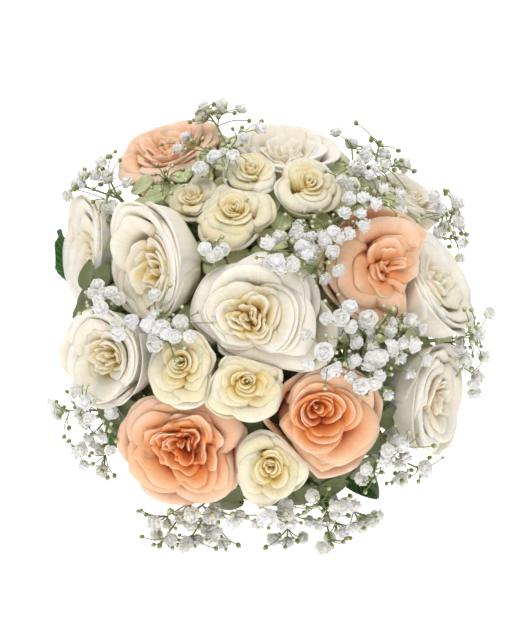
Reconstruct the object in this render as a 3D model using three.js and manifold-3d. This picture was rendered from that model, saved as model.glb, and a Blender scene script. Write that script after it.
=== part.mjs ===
// A round bridal bouquet that lies on a table: garden roses in white and peach, cream spray roses,
// gypsophila and a few leaves, with all stems bound under the head and wrapped in ribbon.
// Millimetres, +Z up. The origin lies on the table, under the middle of the whole bouquet.
import * as THREE from "three";
import { mergeVertices } from "three/addons/utils/BufferGeometryUtils.js";
import Module from "manifold-3d";

const wasm = await Module();
wasm.setup();

// The bouquet has a frame of its own while it is built: z runs up the handle to the flowers, x across,
// and the origin is the middle of the head, level with the rim of its dome.
const HEAD_RADIUS = 132; // of the dome that the mouths of the blooms lie on
const HEAD_HEIGHT = 86;
const BINDING_Z = -95; // where the tape gathers the stems
const CUT_Z = -255; // where the stems are cut off
const RIBBON_TOP_Z = -100;
const RIBBON_END_Z = -205;
const LIE_TILT = 29; // degrees that the handle rises towards the flowers as the bouquet lies
const FIT_GAP = 0.3; // between pieces that touch

// Flowers are placed as they are seen from the front, from 15 degrees below the bouquet's own axis.
const SIGHT_TILT = THREE.MathUtils.degToRad(15);
const SIGHT_DISTANCE = 1000;
const NEARNESS_ROUNDS = 6;

// Blooms: name, kind, across and up as seen, width and height of its mouth, depth, the yaw and pitch
// that it faces, how far its mouth stands out of the dome, and, where a guard petal stands out, the
// angle in the mouth that it points to and its reach as a share of the radius.
const BLOOMS = [
  ["rose_white_1", "open", -6, 5, 80, 80, 50, -8, 10, 4, -38, 1.25],
  ["rose_white_2", "open", -83, 38, 64, 78, 46, -42, -10, 8],
  ["rose_white_3", "open", -122, 48, 60, 74, 46, -60, 0, -12],
  ["rose_white_4", "open", -110, -24, 66, 62, 44, -38, -5, 0],
  ["rose_white_5", "open", 15, 119, 70, 66, 44, 8, 56, -4],
  ["rose_white_6", "cupped", 102, 88, 52, 50, 46, 50, 48, 0],
  ["rose_white_7", "open", 121, 30, 64, 74, 48, 55, 26, 0],
  ["rose_white_8", "open", 121, -52, 66, 72, 46, 58, -5, 0],
  ["rose_peach_1", "open", -64, 120, 76, 72, 46, -28, 50, 0],
  ["rose_peach_2", "open", 84, 38, 84, 74, 48, 26, 5, 2],
  ["rose_peach_3", "open", -55, -86, 82, 72, 50, -12, -12, 0],
  ["rose_peach_4", "open", 44, -70, 77, 69, 50, 12, -12, 2],
  ["spray_rose_1", "small", -20, 75, 52, 46, 32, -5, 25, 0],
  ["spray_rose_2", "smallCupped", -7, 104, 35, 38, 30, 0, 40, 2],
  ["spray_rose_3", "small", 32, 94, 42, 42, 32, 12, 30, 2],
  ["spray_rose_4", "smallCupped", -47, 85, 32, 30, 28, -20, 30, -4],
  ["spray_rose_5", "small", -55, -30, 45, 46, 32, -18, 5, 4],
  ["spray_rose_6", "small", -11, -44, 52, 42, 32, 3, -8, 4],
  ["spray_rose_7", "small", 5, -100, 44, 50, 34, -5, -16, 2],
];

// Profiles run from the middle of the bloom out over the edge of each layer of petals and down to the
// stem, as shares of the radius and of the depth. The second list says how many steps of a petal each
// ring is turned, so that the petals of one layer cover the seams of the next.
const PETAL_STEPS = 3; // round one petal
const PETALS_IN_LAYER = 5;
const FORMS = {
  open: [
    [0, 0.72, 0],
    [0.1, 0.84, 0],
    [0.15, 0.68, 0],
    [0.27, 0.92, 2],
    [0.32, 0.74, 2],
    [0.48, 0.98, 0],
    [0.53, 0.76, 0],
    [0.75, 1.0, 2],
    [0.8, 0.76, 2],
    [1.0, 0.88, 0],
    [0.92, 0.54, 0],
    [0.62, 0.2, 0],
    [0.26, 0.02, 0],
    [0, 0, 0],
  ],
  cupped: [
    [0, 0.8, 0],
    [0.12, 0.9, 0],
    [0.18, 0.74, 0],
    [0.36, 0.98, 2],
    [0.42, 0.78, 2],
    [0.66, 1.0, 0],
    [0.72, 0.76, 0],
    [0.96, 0.92, 2],
    [1.0, 0.6, 2],
    [0.82, 0.24, 0],
    [0.3, 0.02, 0],
    [0, 0, 0],
  ],
  small: [
    [0, 0.76, 0],
    [0.16, 0.88, 0],
    [0.22, 0.72, 0],
    [0.46, 0.98, 1],
    [0.52, 0.76, 1],
    [0.76, 1.0, 2],
    [0.81, 0.72, 2],
    [1.0, 0.84, 0],
    [0.88, 0.46, 0],
    [0.3, 0.02, 0],
    [0, 0, 0],
  ],
  smallCupped: [
    [0, 0.8, 0],
    [0.2, 0.92, 0],
    [0.28, 0.74, 0],
    [0.56, 1.0, 1],
    [0.62, 0.74, 1],
    [0.94, 0.94, 0],
    [1.0, 0.56, 0],
    [0.78, 0.2, 0],
    [0.3, 0.02, 0],
    [0, 0, 0],
  ],
};
const GUARD_START = 0.8; // share of the radius from which a guard petal draws the bloom out
const CREST = 0.8; // rings above this share of the depth are petals' edges
const SEAM_DROP = 0.1; // how much lower a petal's edge is at its seams, as a share of the depth
const SEAM_TUCK = 0.05; // and how much closer in, as a share of its radius

// Stems: radius and number of sides, and how far a stem's first course runs straight on under the
// flower and above the binding.
const LARGE_STEM = { radius: 3.0, sides: 5 };
const SMALL_STEM = { radius: 2.0, sides: 4 };
const SPRIG_STEM = { radius: 1.4, sides: 4 };
const LEAF_STEM = { radius: 1.3, sides: 3 };
const STEM_REACH_TOP = 34;
const STEM_REACH_BINDING = 45;
const STEM_POINTS = 37; // on a stem's course down to the binding
const RING_STEP = 6; // points from one ring of a stem's tube to the next
const FREE_END = 2; // points at each end of a course that stay where they are
const OWN_POINTS = 8; // of a stem's course, which its own flower doesn't push
const STEM_GAP = 1.2; // that bending leaves between two stems
const SLOT_SHARE = 0.14; // of a flower's distance from the axis, where its stem starts in the bundle
const PACK_ROUNDS = 600;
const PACK_PULL = 0.01;
const PACK_PUSH = 0.25;
const BEND_ROUNDS = 80;
const BEND_PUSH = 0.12;
const BLOOM_PUSH = 0.5;
const BEND_SMOOTH = 0.3;
const PUSH_ROUNDS = 30;

// The calyx's profile, from inside the stem to the foot of the bloom: r as a share of the stem's
// radius, z as a share of the calyx's depth. Its widest ring is cut into pointed sepals.
const CALYX_DEPTH = 12;
const CALYX_LINE = [
  [0, -1.17],
  [1.12, -1.17],
  [1.6, -0.5],
  [3, -0.13],
  [0, 0],
];
const SEPALS = 5;
const SEPAL_RING = 3; // the point of the profile that is drawn in between two sepals
const SEPAL_NOTCH = 0.5; // share of the radius that is left there

// Gypsophila sprigs: the fork as seen (across, up, toward), across and up of the crown's middle, its
// half width, half height and turn, how high it stands over the dome, and its count of tips.
const SPRIGS = [
  [[36, 56, 44], 38, 50, 38, 18, 35, 6, 10],
  [[60, 92, 20], 72, 98, 24, 30, -30, 6, 8],
  [[-22, 114, 2], -32, 118, 20, 26, 20, 8, 8],
  [[66, -12, 48], 68, -14, 32, 30, 0, 6, 9],
  [[-61, -5, 44], -60, -2, 14, 12, 0, 2, 4],
  [[-98, -58, -10], -114, -72, 20, 30, 35, 0, 7],
  [[-30, -100, -20], -44, -132, 34, 14, 0, 0, 8],
  [[30, -100, -15], 36, -130, 44, 16, 0, 0, 9],
  [[112, -12, -20], 132, -14, 10, 22, 0, 0, 5],
  [[80, -80, -15], 86, -92, 20, 18, 0, 0, 5],
  [[-94, 82, -30], -108, 88, 18, 14, 40, 0, 5],
  [[112, 54, -30], 120, 64, 16, 10, -30, 0, 5],
];
const FLORET_RADIUS = 4.4; // of the smallest one
const FLORET_SPREAD = 1.6; // that the largest one has more
const BUD_RADIUS = 2.4;
const BUD_EVERY = 4; // one in so many tips is a bud
const STAND_LEAST = 0.4; // share of a sprig's height over the dome that its lowest tips have
const SEEDS_IN_SPRIG = 40;
const TWIG_RADIUS = 0.8;
const TWIG_SIDES = 3;
const ARMS = 3;
const JOINT_SHARE = 0.55; // of the way from the fork to a group of tips
const GOLDEN_ANGLE = Math.PI * (3 - Math.sqrt(5));
const PRESS_HEIGHT = 6; // over the table, under which a floret lies down on it
const CLEAR_ROUNDS = 3;
const CLEAR_STEPS = 40;

// Leaves: the foot and the tip of the blade as seen (across, up, toward), and its width.
const LEAVES = [
  [[-108, 28, -40], [-134, 60, -40], 26],
  [[-76, -50, -28], [-104, -86, -36], 28],
  [[-14, -58, 6], [-24, -82, 30], 20],
  [[24, -90, -30], [52, -126, -8], 26],
  [[50, -84, -30], [76, -116, -4], 24],
  [[62, 74, -56], [92, 92, -74], 26],
  [[-62, 80, -64], [-84, 104, -80], 26],
];
const BLADE_THICKNESS = 0.8;
const BLADE_STEPS = 6;
const LEAF_FOLD = 0.12; // of the width, that each half rises from the rib to its edge
const LEAF_ARCH = 0.18; // of the length, that the ends fall
const LEAF_TIP = 0.06; // of the half width, that is left at the ends
const LEAF_ROOT = 1; // of the blade, that sits in its stalk
const BOX_UNDERSIDE = 5; // the group of a box's faces that look down
const LEAF_TO_VIEW = 0.6; // how much a blade is turned from the dome's outside to the front

// Wraps round the handle.
const RIBBON_THICK = 1.2;
const RIBBON_STEP = 0.8; // that a turn stands out over the one below
const RIBBON_TURNS = 4;
const TAPE_THICK = 1;
const TAPE_WIDTH = 4;
const SLEEVE_SEGMENTS = 16;

const WHITE_PETAL = { color: 0xf3ecdc, roughness: 0.55, metalness: 0 };
const PEACH_PETAL = { color: 0xf2b08a, roughness: 0.55, metalness: 0 };
const CREAM_PETAL = { color: 0xf0e6c2, roughness: 0.55, metalness: 0 };
const GREEN_STEM = { color: 0x6d8440, roughness: 0.6, metalness: 0 };
const WHITE_FLORET = { color: 0xf1f0ee, roughness: 0.7, metalness: 0 };
const DARK_LEAF = { color: 0x2b5420, roughness: 0.4, metalness: 0 };
const SATIN = { color: 0xf2ebdf, roughness: 0.35, metalness: 0 };
const TAPE = { color: 0x5e7a48, roughness: 0.6, metalness: 0 };

// Turns a place as seen from the front into the bouquet's frame. What stands nearer looks larger, so
// its distance from the line of sight shrinks with its nearness.
function seen(across, up, toward) {
  const scale = 1 - toward / SIGHT_DISTANCE;
  const rise = up * scale;
  return new THREE.Vector3(
    across * scale,
    rise * Math.cos(SIGHT_TILT) - toward * Math.sin(SIGHT_TILT),
    rise * Math.sin(SIGHT_TILT) + toward * Math.cos(SIGHT_TILT),
  );
}

// The unit vector that points right by yaw and up by pitch, in degrees, as seen from the front.
function seenDirection(yaw, pitch) {
  const turn = THREE.MathUtils.degToRad(yaw);
  const lift = THREE.MathUtils.degToRad(pitch);
  const rise = Math.sin(lift);
  const toward = Math.cos(turn) * Math.cos(lift);
  return new THREE.Vector3(
    Math.sin(turn) * Math.cos(lift),
    rise * Math.cos(SIGHT_TILT) - toward * Math.sin(SIGHT_TILT),
    rise * Math.sin(SIGHT_TILT) + toward * Math.cos(SIGHT_TILT),
  );
}

// How near the dome is along the line of sight at a place as seen, from the dome's equation
// (x^2 + y^2) / HEAD_RADIUS^2 + z^2 / HEAD_HEIGHT^2 = 1. Past its edge it keeps the edge's nearness.
function domeNearness(across, up) {
  const s = Math.sin(SIGHT_TILT);
  const c = Math.cos(SIGHT_TILT);
  const wide = 1 / HEAD_RADIUS ** 2;
  const high = 1 / HEAD_HEIGHT ** 2;
  let toward = 0;
  for (let round = 0; round < NEARNESS_ROUNDS; round++) {
    const scale = 1 - toward / SIGHT_DISTANCE;
    const x = across * scale;
    const rise = up * scale;
    const a = s * s * wide + c * c * high;
    const b = 2 * rise * s * c * (high - wide);
    const d = (x * x + rise * rise * c * c) * wide + rise * rise * s * s * high - 1;
    toward = (-b + Math.sqrt(Math.max(0, b * b - 4 * a * d))) / (2 * a);
  }
  return toward;
}

// A bloom's frame: facing is its axis, right and top lie in its mouth.
function placeBloom([name, kind, across, up, width, height, depth, yaw, pitch, out, ...guardPetal]) {
  const facing = seenDirection(yaw, pitch);
  const mouth = seen(across, up, domeNearness(across, up) + out);
  const centre = mouth.clone().addScaledVector(facing, -depth / 2);
  const upward = seenDirection(0, 90);
  const top = upward.addScaledVector(facing, -upward.dot(facing)).normalize();
  const right = new THREE.Vector3().crossVectors(top, facing);
  const foot = centre.clone().addScaledVector(facing, -depth / 2 - FIT_GAP);
  const [guardAngle = 0, guardReach = 1] = guardPetal;
  const guard = THREE.MathUtils.degToRad(guardAngle);
  return {
    name, kind, centre, facing, top, right, foot, guard, guardReach,
    wide: width / 2,
    high: height / 2,
    half: depth / 2,
    walls: [],
  };
}

// How much further than the rest of the mouth a guard petal reaches at an angle in the mouth.
function guardShare(bloom, angle) {
  return (bloom.guardReach - 1) * Math.max(0, Math.cos(angle - bloom.guard)) ** 2;
}

// The reach of a bloom's own form from its centre in a direction: under the middle an ellipsoid, above
// it an oval drum, with more radius where a guard petal stands out.
function formReach(bloom, direction) {
  const rise = direction.dot(bloom.facing);
  const side = Math.sqrt(Math.max(1e-9, 1 - rise * rise));
  const angle = Math.atan2(direction.dot(bloom.top), direction.dot(bloom.right));
  const oval = 1 / Math.hypot(Math.cos(angle) / bloom.wide, Math.sin(angle) / bloom.high);
  const radius = oval * (1 + guardShare(bloom, angle));
  if (rise < 0) return 1 / Math.sqrt((side / radius) ** 2 + (rise / bloom.half) ** 2);
  return Math.min(radius / side, bloom.half / Math.max(rise, 1e-9));
}

// Pressed petals: between two blooms runs a plane that shares the room by their reach, and neither
// reaches past it.
function setWalls(blooms) {
  for (const one of blooms) {
    for (const other of blooms) {
      if (one === other) continue;
      const normal = other.centre.clone().sub(one.centre);
      const distance = normal.length();
      normal.divideScalar(distance);
      const mine = formReach(one, normal);
      const theirs = formReach(other, normal.clone().negate());
      const room = ((distance - FIT_GAP) * mine) / (mine + theirs);
      one.walls.push({ normal, room });
    }
  }
}

function bloomReach(bloom, direction) {
  let reach = formReach(bloom, direction);
  for (const wall of bloom.walls) {
    const along = wall.normal.dot(direction);
    if (along > 0) reach = Math.min(reach, wall.room / along);
  }
  return reach;
}

// A bloom's mesh in its own frame: a lathe of its profile with its petals' edges dipped at the seams,
// and each corner drawn in to where the bloom has room.
function bloomGeometry(bloom) {
  const profile = FORMS[bloom.kind];
  const segments = PETAL_STEPS * PETALS_IN_LAYER;
  const line = profile.map(
    ([r, z]) => new THREE.Vector2(r, (z - 0.5) * 2 * bloom.half),
  );
  const lathe = new THREE.LatheGeometry(line.reverse(), segments);
  lathe.rotateX(Math.PI / 2);
  const rings = profile.map(([r, z, turn]) => ({ r, z, turn })).reverse();
  const place = lathe.getAttribute("position");
  const corner = new THREE.Vector3();
  const direction = new THREE.Vector3();
  for (let i = 0; i < place.count; i++) {
    const ring = rings[i % rings.length];
    const segment = Math.floor(i / rings.length) % segments;
    corner.fromBufferAttribute(place, i);
    corner.x *= bloom.wide;
    corner.y *= bloom.high;
    const onSeam = (segment + ring.turn) % PETAL_STEPS === 0;
    if (onSeam && ring.z > CREST) {
      corner.x *= 1 - SEAM_TUCK;
      corner.y *= 1 - SEAM_TUCK;
      corner.z -= SEAM_DROP * 2 * bloom.half;
    }
    const outer = Math.max(0, ring.r - GUARD_START) / (1 - GUARD_START);
    const more = 1 + outer * guardShare(bloom, Math.atan2(corner.y, corner.x));
    corner.x *= more;
    corner.y *= more;
    direction
      .copy(bloom.right)
      .multiplyScalar(corner.x)
      .addScaledVector(bloom.top, corner.y)
      .addScaledVector(bloom.facing, corner.z)
      .normalize();
    corner.multiplyScalar(Math.min(1, bloomReach(bloom, direction) / formReach(bloom, direction)));
    place.setXYZ(i, corner.x, corner.y, corner.z);
  }
  return lathe;
}

// Joins closed geometries into one, which has to be a single body.
function solidOf(geometry) {
  const bare = geometry.index ? geometry.clone() : mergeVertices(geometry);
  bare.deleteAttribute("normal");
  bare.deleteAttribute("uv");
  const merged = mergeVertices(bare, 1e-4);
  return new wasm.Manifold(
    new wasm.Mesh({
      numProp: 3,
      vertProperties: merged.getAttribute("position").array,
      triVerts: new Uint32Array(merged.index.array),
    }),
  );
}

function fuse(geometries) {
  const whole = wasm.Manifold.union(geometries.map(solidOf));
  const mesh = whole.getMesh();
  return new THREE.BufferGeometry()
    .setAttribute("position", new THREE.BufferAttribute(mesh.vertProperties, 3))
    .setIndex(new THREE.BufferAttribute(mesh.triVerts, 1));
}

// A curve whose parameter counts its own points, so that a tube gets one ring at each of them.
class PointPath extends THREE.CatmullRomCurve3 {
  getUtoTmapping(u) {
    return u;
  }
}

function tube(points, radius, sides) {
  const section = new THREE.Shape();
  for (let i = 0; i < sides; i++) {
    const angle = (2 * Math.PI * i) / sides;
    const x = radius * Math.cos(angle);
    const y = radius * Math.sin(angle);
    if (i === 0) section.moveTo(x, y);
    else section.lineTo(x, y);
  }
  section.closePath();
  return new THREE.ExtrudeGeometry(section, {
    steps: points.length - 1,
    extrudePath: new PointPath(points, false, "centripetal"),
    curveSegments: 1,
  });
}

const blooms = BLOOMS.map(placeBloom);
setWalls(blooms);

// Pushes a place straight away from the middles of the blooms that it is too near to.
function pushedClear(place, radius) {
  const clear = place.clone();
  for (let round = 0; round < PUSH_ROUNDS; round++) {
    for (const bloom of blooms) {
      const away = clear.clone().sub(bloom.centre);
      const distance = away.length();
      away.divideScalar(distance);
      const short = bloomReach(bloom, away) + radius + STEM_GAP - distance;
      if (short > 0) clear.addScaledVector(away, short);
    }
  }
  return clear;
}

// Every stem: where it leaves its flower, the direction that it leaves in, and its radius.
function bloomStem(bloom) {
  return {
    name: bloom.name.replace("spray_rose", "stem_spray").replace("rose", "stem"),
    bloom,
    ...(bloom.name.startsWith("spray") ? SMALL_STEM : LARGE_STEM),
    start: bloom.foot.clone().addScaledVector(bloom.facing, -CALYX_DEPTH),
    leaves: bloom.facing.clone().negate(),
  };
}

// The stem of a sprig or a leaf leaves its fork or the blade's foot straight towards the binding.
function greenStem([foot], { radius, sides }) {
  const start = pushedClear(seen(...foot), radius);
  const leaves = new THREE.Vector3(-start.x, -start.y, BINDING_Z - start.z).normalize();
  return { bloom: null, radius, sides, start, leaves };
}

const stems = [
  ...blooms.map(bloomStem),
  ...SPRIGS.map((sprig) => greenStem(sprig, SPRIG_STEM)),
  ...LEAVES.map((leaf) => greenStem(leaf, LEAF_STEM)),
];

// The stems' places in the handle: each starts on its flower's side of the bundle, is drawn to the
// middle, and is pushed off the stems that it touches, all at once in each round.
function packHandle() {
  for (const stem of stems) {
    stem.slot = new THREE.Vector2(stem.start.x, stem.start.y);
    stem.slot.multiplyScalar(SLOT_SHARE);
  }
  for (let round = 0; round < PACK_ROUNDS; round++) {
    const drawn = round < PACK_ROUNDS / 2 ? PACK_PULL : 0;
    const moves = stems.map((stem) => stem.slot.clone().multiplyScalar(-drawn));
    stems.forEach((one, i) => {
      stems.forEach((other, j) => {
        if (i === j) return;
        const away = one.slot.clone().sub(other.slot);
        const distance = away.length();
        const short = one.radius + other.radius + FIT_GAP - distance;
        if (short > 0) moves[i].addScaledVector(away, (PACK_PUSH * short) / distance);
      });
    });
    stems.forEach((stem, i) => stem.slot.add(moves[i]));
  }
}

packHandle();

// A stem's first course from its flower to the binding is a cubic curve.
function firstCourse(stem) {
  const end = new THREE.Vector3(stem.slot.x, stem.slot.y, BINDING_Z);
  const curve = new THREE.CubicBezierCurve3(
    stem.start,
    stem.start.clone().addScaledVector(stem.leaves, STEM_REACH_TOP),
    end.clone().setZ(BINDING_Z + STEM_REACH_BINDING),
    end,
  );
  return curve.getPoints(STEM_POINTS - 1);
}

// Stems bend round each other and round the blooms: in each round every point is pushed off what is
// too near and drawn towards the middle of its neighbours on the stem.
function bendStems() {
  for (const stem of stems) stem.points = firstCourse(stem);
  for (let round = 0; round < BEND_ROUNDS; round++) {
    const moves = stems.map((stem) => stem.points.map(() => new THREE.Vector3()));
    stems.forEach((one, i) => {
      one.points.forEach((point, k) => {
        const move = moves[i][k];
        stems.forEach((other, j) => {
          if (i === j) return;
          const room = one.radius + other.radius + STEM_GAP;
          for (const rival of other.points) {
            const distance = point.distanceTo(rival);
            if (distance >= room) continue;
            const away = point.clone().sub(rival);
            move.addScaledVector(away, (BEND_PUSH * (room - distance)) / distance);
          }
        });
        for (const bloom of blooms) {
          if (bloom === one.bloom && k < OWN_POINTS) continue;
          const away = point.clone().sub(bloom.centre);
          const distance = away.length();
          away.divideScalar(distance);
          const room = bloomReach(bloom, away) + one.radius + STEM_GAP;
          if (distance < room) move.addScaledVector(away, BLOOM_PUSH * (room - distance));
        }
        if (k > 0 && k < one.points.length - 1) {
          const middle = one.points[k - 1].clone().add(one.points[k + 1]).multiplyScalar(0.5);
          move.addScaledVector(middle.sub(point), BEND_SMOOTH);
        }
      });
    });
    stems.forEach((stem, i) => {
      const last = stem.points.length - FREE_END;
      for (let k = FREE_END; k < last; k++) stem.points[k].add(moves[i][k]);
    });
  }
}

bendStems();

// A stem's tube has a ring at some points of its course, and one at the cut end.
function stemTube(stem) {
  const rings = stem.points.filter((_, k) => k % RING_STEP === 0);
  rings.push(new THREE.Vector3(stem.slot.x, stem.slot.y, CUT_Z));
  return tube(rings, stem.radius, stem.sides);
}

for (const stem of stems) stem.tube = stemTube(stem);

// The table: its normal in the bouquet's frame, and how low the cut ends reach along it.
const tableNormal = new THREE.Vector3(0, 0, 1).applyAxisAngle(
  new THREE.Vector3(1, 0, 0),
  THREE.MathUtils.degToRad(LIE_TILT - 90),
);
const tableDrop = Math.min(...stems.map((stem) => lowest(stem.tube)));

function lowest(geometry) {
  const place = geometry.getAttribute("position");
  const corner = new THREE.Vector3();
  let low = Infinity;
  for (let i = 0; i < place.count; i++) {
    low = Math.min(low, tableNormal.dot(corner.fromBufferAttribute(place, i)));
  }
  return low;
}

// A share from 0 to 1 that looks random and is the same in each run: the fraction of a large sine.
function scatter(n) {
  const wave = Math.sin(n * 12.9898) * 43758.5453;
  return wave - Math.floor(wave);
}

// The way out of the dome at a place: the normal of the ellipsoid through it.
function outward(place) {
  return new THREE.Vector3(
    place.x / HEAD_RADIUS ** 2,
    place.y / HEAD_RADIUS ** 2,
    place.z / HEAD_HEIGHT ** 2,
  ).normalize();
}

function insideBloom(place, radius) {
  return blooms.some((bloom) => {
    const away = place.clone().sub(bloom.centre);
    const distance = away.length();
    return distance < bloomReach(bloom, away.divideScalar(distance)) + radius;
  });
}

// Bends a place clear: out of the dome until no bloom is nearer than the radius, inside its sprig's
// own room, and above the table.
function bentClear(place, radius, rooms) {
  const clear = place.clone();
  const out = outward(place);
  for (let round = 0; round < CLEAR_ROUNDS; round++) {
    for (const { middle, normal } of rooms) {
      const past = clear.clone().sub(middle).dot(normal) + radius + FIT_GAP;
      if (past > 0) clear.addScaledVector(normal, -past);
    }
    const under = radius - (tableNormal.dot(clear) - tableDrop);
    if (under > 0) clear.addScaledVector(tableNormal, under);
    for (let step = 0; step < CLEAR_STEPS; step++) {
      if (insideBloom(clear, radius + FIT_GAP)) clear.add(out);
    }
  }
  return clear;
}

// Two sprigs share the room between their crowns at the plane half way.
function sprigRooms(crowns, i) {
  return crowns
    .filter((_, j) => j !== i)
    .map((other) => ({
      middle: crowns[i].clone().lerp(other, 0.5),
      normal: other.clone().sub(crowns[i]).normalize(),
    }));
}

const crowns = SPRIGS.map(([, across, up]) => seen(across, up, domeNearness(across, up)));

// A twig runs straight from one place to another, or over a bend where a bloom is in its way.
function twig(from, to, rooms) {
  const half = from.clone().lerp(to, 0.5);
  const bend = bentClear(half, TWIG_RADIUS, rooms);
  const points = bend.distanceTo(half) > TWIG_RADIUS ? [from, bend, to] : [from, to];
  return tube(points, TWIG_RADIUS, TWIG_SIDES);
}

// A floret: a double ball of petals as a twenty-sided form, each turned its own way.
function floret(place, radius, seed) {
  const ball = new THREE.IcosahedronGeometry(radius, 0);
  ball.rotateX(scatter(seed) * Math.PI);
  ball.rotateZ(scatter(seed + 0.5) * Math.PI);
  ball.translate(place.x, place.y, place.z);
  return ball;
}

function bud(place, radius) {
  const ball = new THREE.OctahedronGeometry(radius, 0);
  ball.translate(place.x, place.y, place.z);
  return ball;
}

// The tips of a sprig, florets and buds, lie on a sunflower's spiral over its crown.
function sprigTips([, across, up, wide, high, turn, stand, count], i, rooms) {
  const lean = THREE.MathUtils.degToRad(turn);
  return Array.from({ length: count }, (_, k) => {
    const seed = i * SEEDS_IN_SPRIG + k;
    const share = Math.sqrt((k + 0.5) / count);
    const angle = k * GOLDEN_ANGLE + i;
    const x = share * wide * Math.cos(angle);
    const y = share * high * Math.sin(angle);
    const a = across + x * Math.cos(lean) - y * Math.sin(lean);
    const u = up + x * Math.sin(lean) + y * Math.cos(lean);
    const isBud = k % BUD_EVERY === BUD_EVERY - 1;
    const radius = isBud ? BUD_RADIUS : FLORET_RADIUS + FLORET_SPREAD * scatter(seed);
    const over = domeNearness(a, u) + stand * (STAND_LEAST + scatter(seed + SEEDS_IN_SPRIG / 2));
    const arm = Math.floor(((angle / (2 * Math.PI)) % 1) * ARMS);
    const place = pressedDown(bentClear(seen(a, u, over), radius, rooms), radius, seed);
    return { place, radius, isBud, arm, seed };
  });
}

// A tip that comes near the table is pressed down until its lowest corner lies on it.
function pressedDown(place, radius, seed) {
  const height = lowest(floret(place, radius, seed)) - tableDrop;
  return height > PRESS_HEIGHT ? place : place.clone().addScaledVector(tableNormal, -height);
}

// A sprig of gypsophila has three arms. An arm runs over a joint to the tip that is furthest off, and
// the arm's other tips stand on twigs that leave it one after the other.
function sprigShape(sprig, i) {
  const stem = stems[blooms.length + i];
  const rooms = sprigRooms(crowns, i);
  const tips = sprigTips(sprig, i, rooms);
  const pieces = [stem.tube];
  for (let arm = 0; arm < ARMS; arm++) {
    const start = stem.points[arm];
    const group = tips.filter((tip) => tip.arm === arm);
    if (!group.length) continue;
    group.sort((one, other) => other.place.distanceTo(start) - one.place.distanceTo(start));
    const mean = new THREE.Vector3();
    for (const tip of group) mean.addScaledVector(tip.place, 1 / group.length);
    const joint = bentClear(start.clone().lerp(mean, JOINT_SHARE), TWIG_RADIUS, rooms);
    const far = group[0].place;
    const elbow = bentClear(joint.clone().lerp(far, 0.5), TWIG_RADIUS, rooms);
    pieces.push(tube([start, joint, elbow, far], TWIG_RADIUS, TWIG_SIDES));
    group.forEach((tip, m) => {
      const foot = joint.clone().lerp(elbow, (m - 1) / Math.max(1, group.length - 1));
      if (m > 0) pieces.push(twig(foot, tip.place, rooms));
      pieces.push(tip.isBud ? bud(tip.place, tip.radius) : floret(tip.place, tip.radius, tip.seed));
    });
  }
  return fuse(pieces);
}

// Splits the quads on the underside of a box along their other diagonal. Then the upper and the lower
// face of a bent blade fold alike and stay a blade's thickness apart.
function foldAlike(box) {
  const under = box.groups[BOX_UNDERSIDE];
  for (let i = under.start; i < under.start + under.count; i += 6) {
    const [a, b, d] = [0, 1, 2].map((k) => box.index.getX(i + k));
    const c = box.index.getX(i + 4);
    [a, b, c, a, c, d].forEach((corner, k) => box.index.setX(i + k, corner));
  }
}

// A leaf's blade: a thin box bent to an ovate outline, half width w(s) = sin(pi s^0.8)^0.75, folded
// a little along its rib, arched along its length and fused with its stalk, which holds its root.
function leafShape([, tip, width], i) {
  const stem = stems[blooms.length + SPRIGS.length + i];
  const start = stem.start;
  const end = seen(...tip);
  const along = end.clone().sub(start);
  const length = along.length();
  along.divideScalar(length);
  const out = outward(start.clone().lerp(end, 0.5)).addScaledVector(seenDirection(0, 0), LEAF_TO_VIEW);
  const face = out.addScaledVector(along, -out.dot(along)).normalize();
  const side = new THREE.Vector3().crossVectors(face, along);
  const blade = new THREE.BoxGeometry(1, 1, 1, BLADE_STEPS, 2, 1);
  foldAlike(blade);
  const place = blade.getAttribute("position");
  for (let k = 0; k < place.count; k++) {
    const s = Math.min(1, place.getX(k) + 0.5);
    const across = place.getY(k) * 2;
    const half = (width / 2) * Math.max(LEAF_TIP, Math.sin(Math.PI * s ** 0.8) ** 0.75);
    const rise = LEAF_FOLD * width * Math.abs(across) - LEAF_ARCH * length * (s - 0.4) ** 2;
    const corner = start.clone().addScaledVector(along, s * length - LEAF_ROOT);
    corner.addScaledVector(side, across * half).addScaledVector(face, rise);
    if (s > 0) corner.copy(pushedClear(corner, BLADE_THICKNESS));
    corner.addScaledVector(face, place.getZ(k) * BLADE_THICKNESS);
    place.setXYZ(k, corner.x, corner.y, corner.z);
  }
  return fuse([stem.tube, blade]);
}

// A calyx: pointed sepals round the foot of the bloom, over a round hip that runs into the stem.
function calyx(bloom, stemRadius) {
  const line = CALYX_LINE.map(([r, z]) => new THREE.Vector2(r * stemRadius, z * CALYX_DEPTH));
  const shape = new THREE.LatheGeometry(line, 2 * SEPALS);
  shape.rotateX(Math.PI / 2);
  const place = shape.getAttribute("position");
  for (let i = 0; i < place.count; i++) {
    const segment = Math.floor(i / line.length) % (2 * SEPALS);
    if (i % line.length !== SEPAL_RING || segment % 2 === 0) continue;
    place.setXY(i, place.getX(i) * SEPAL_NOTCH, place.getY(i) * SEPAL_NOTCH);
  }
  shape.applyMatrix4(new THREE.Matrix4().makeBasis(bloom.right, bloom.top, bloom.facing));
  shape.translate(bloom.foot.x, bloom.foot.y, bloom.foot.z);
  return shape;
}

const bouquet = new THREE.Group();
bouquet.rotation.x = THREE.MathUtils.degToRad(90 - LIE_TILT);

function petalsOf(name) {
  if (name.startsWith("rose_white")) return WHITE_PETAL;
  return name.startsWith("rose_peach") ? PEACH_PETAL : CREAM_PETAL;
}

function addMesh(name, geometry, finish) {
  const mesh = new THREE.Mesh(geometry, new THREE.MeshStandardMaterial(finish));
  mesh.name = name;
  bouquet.add(mesh);
  return mesh;
}

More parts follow.
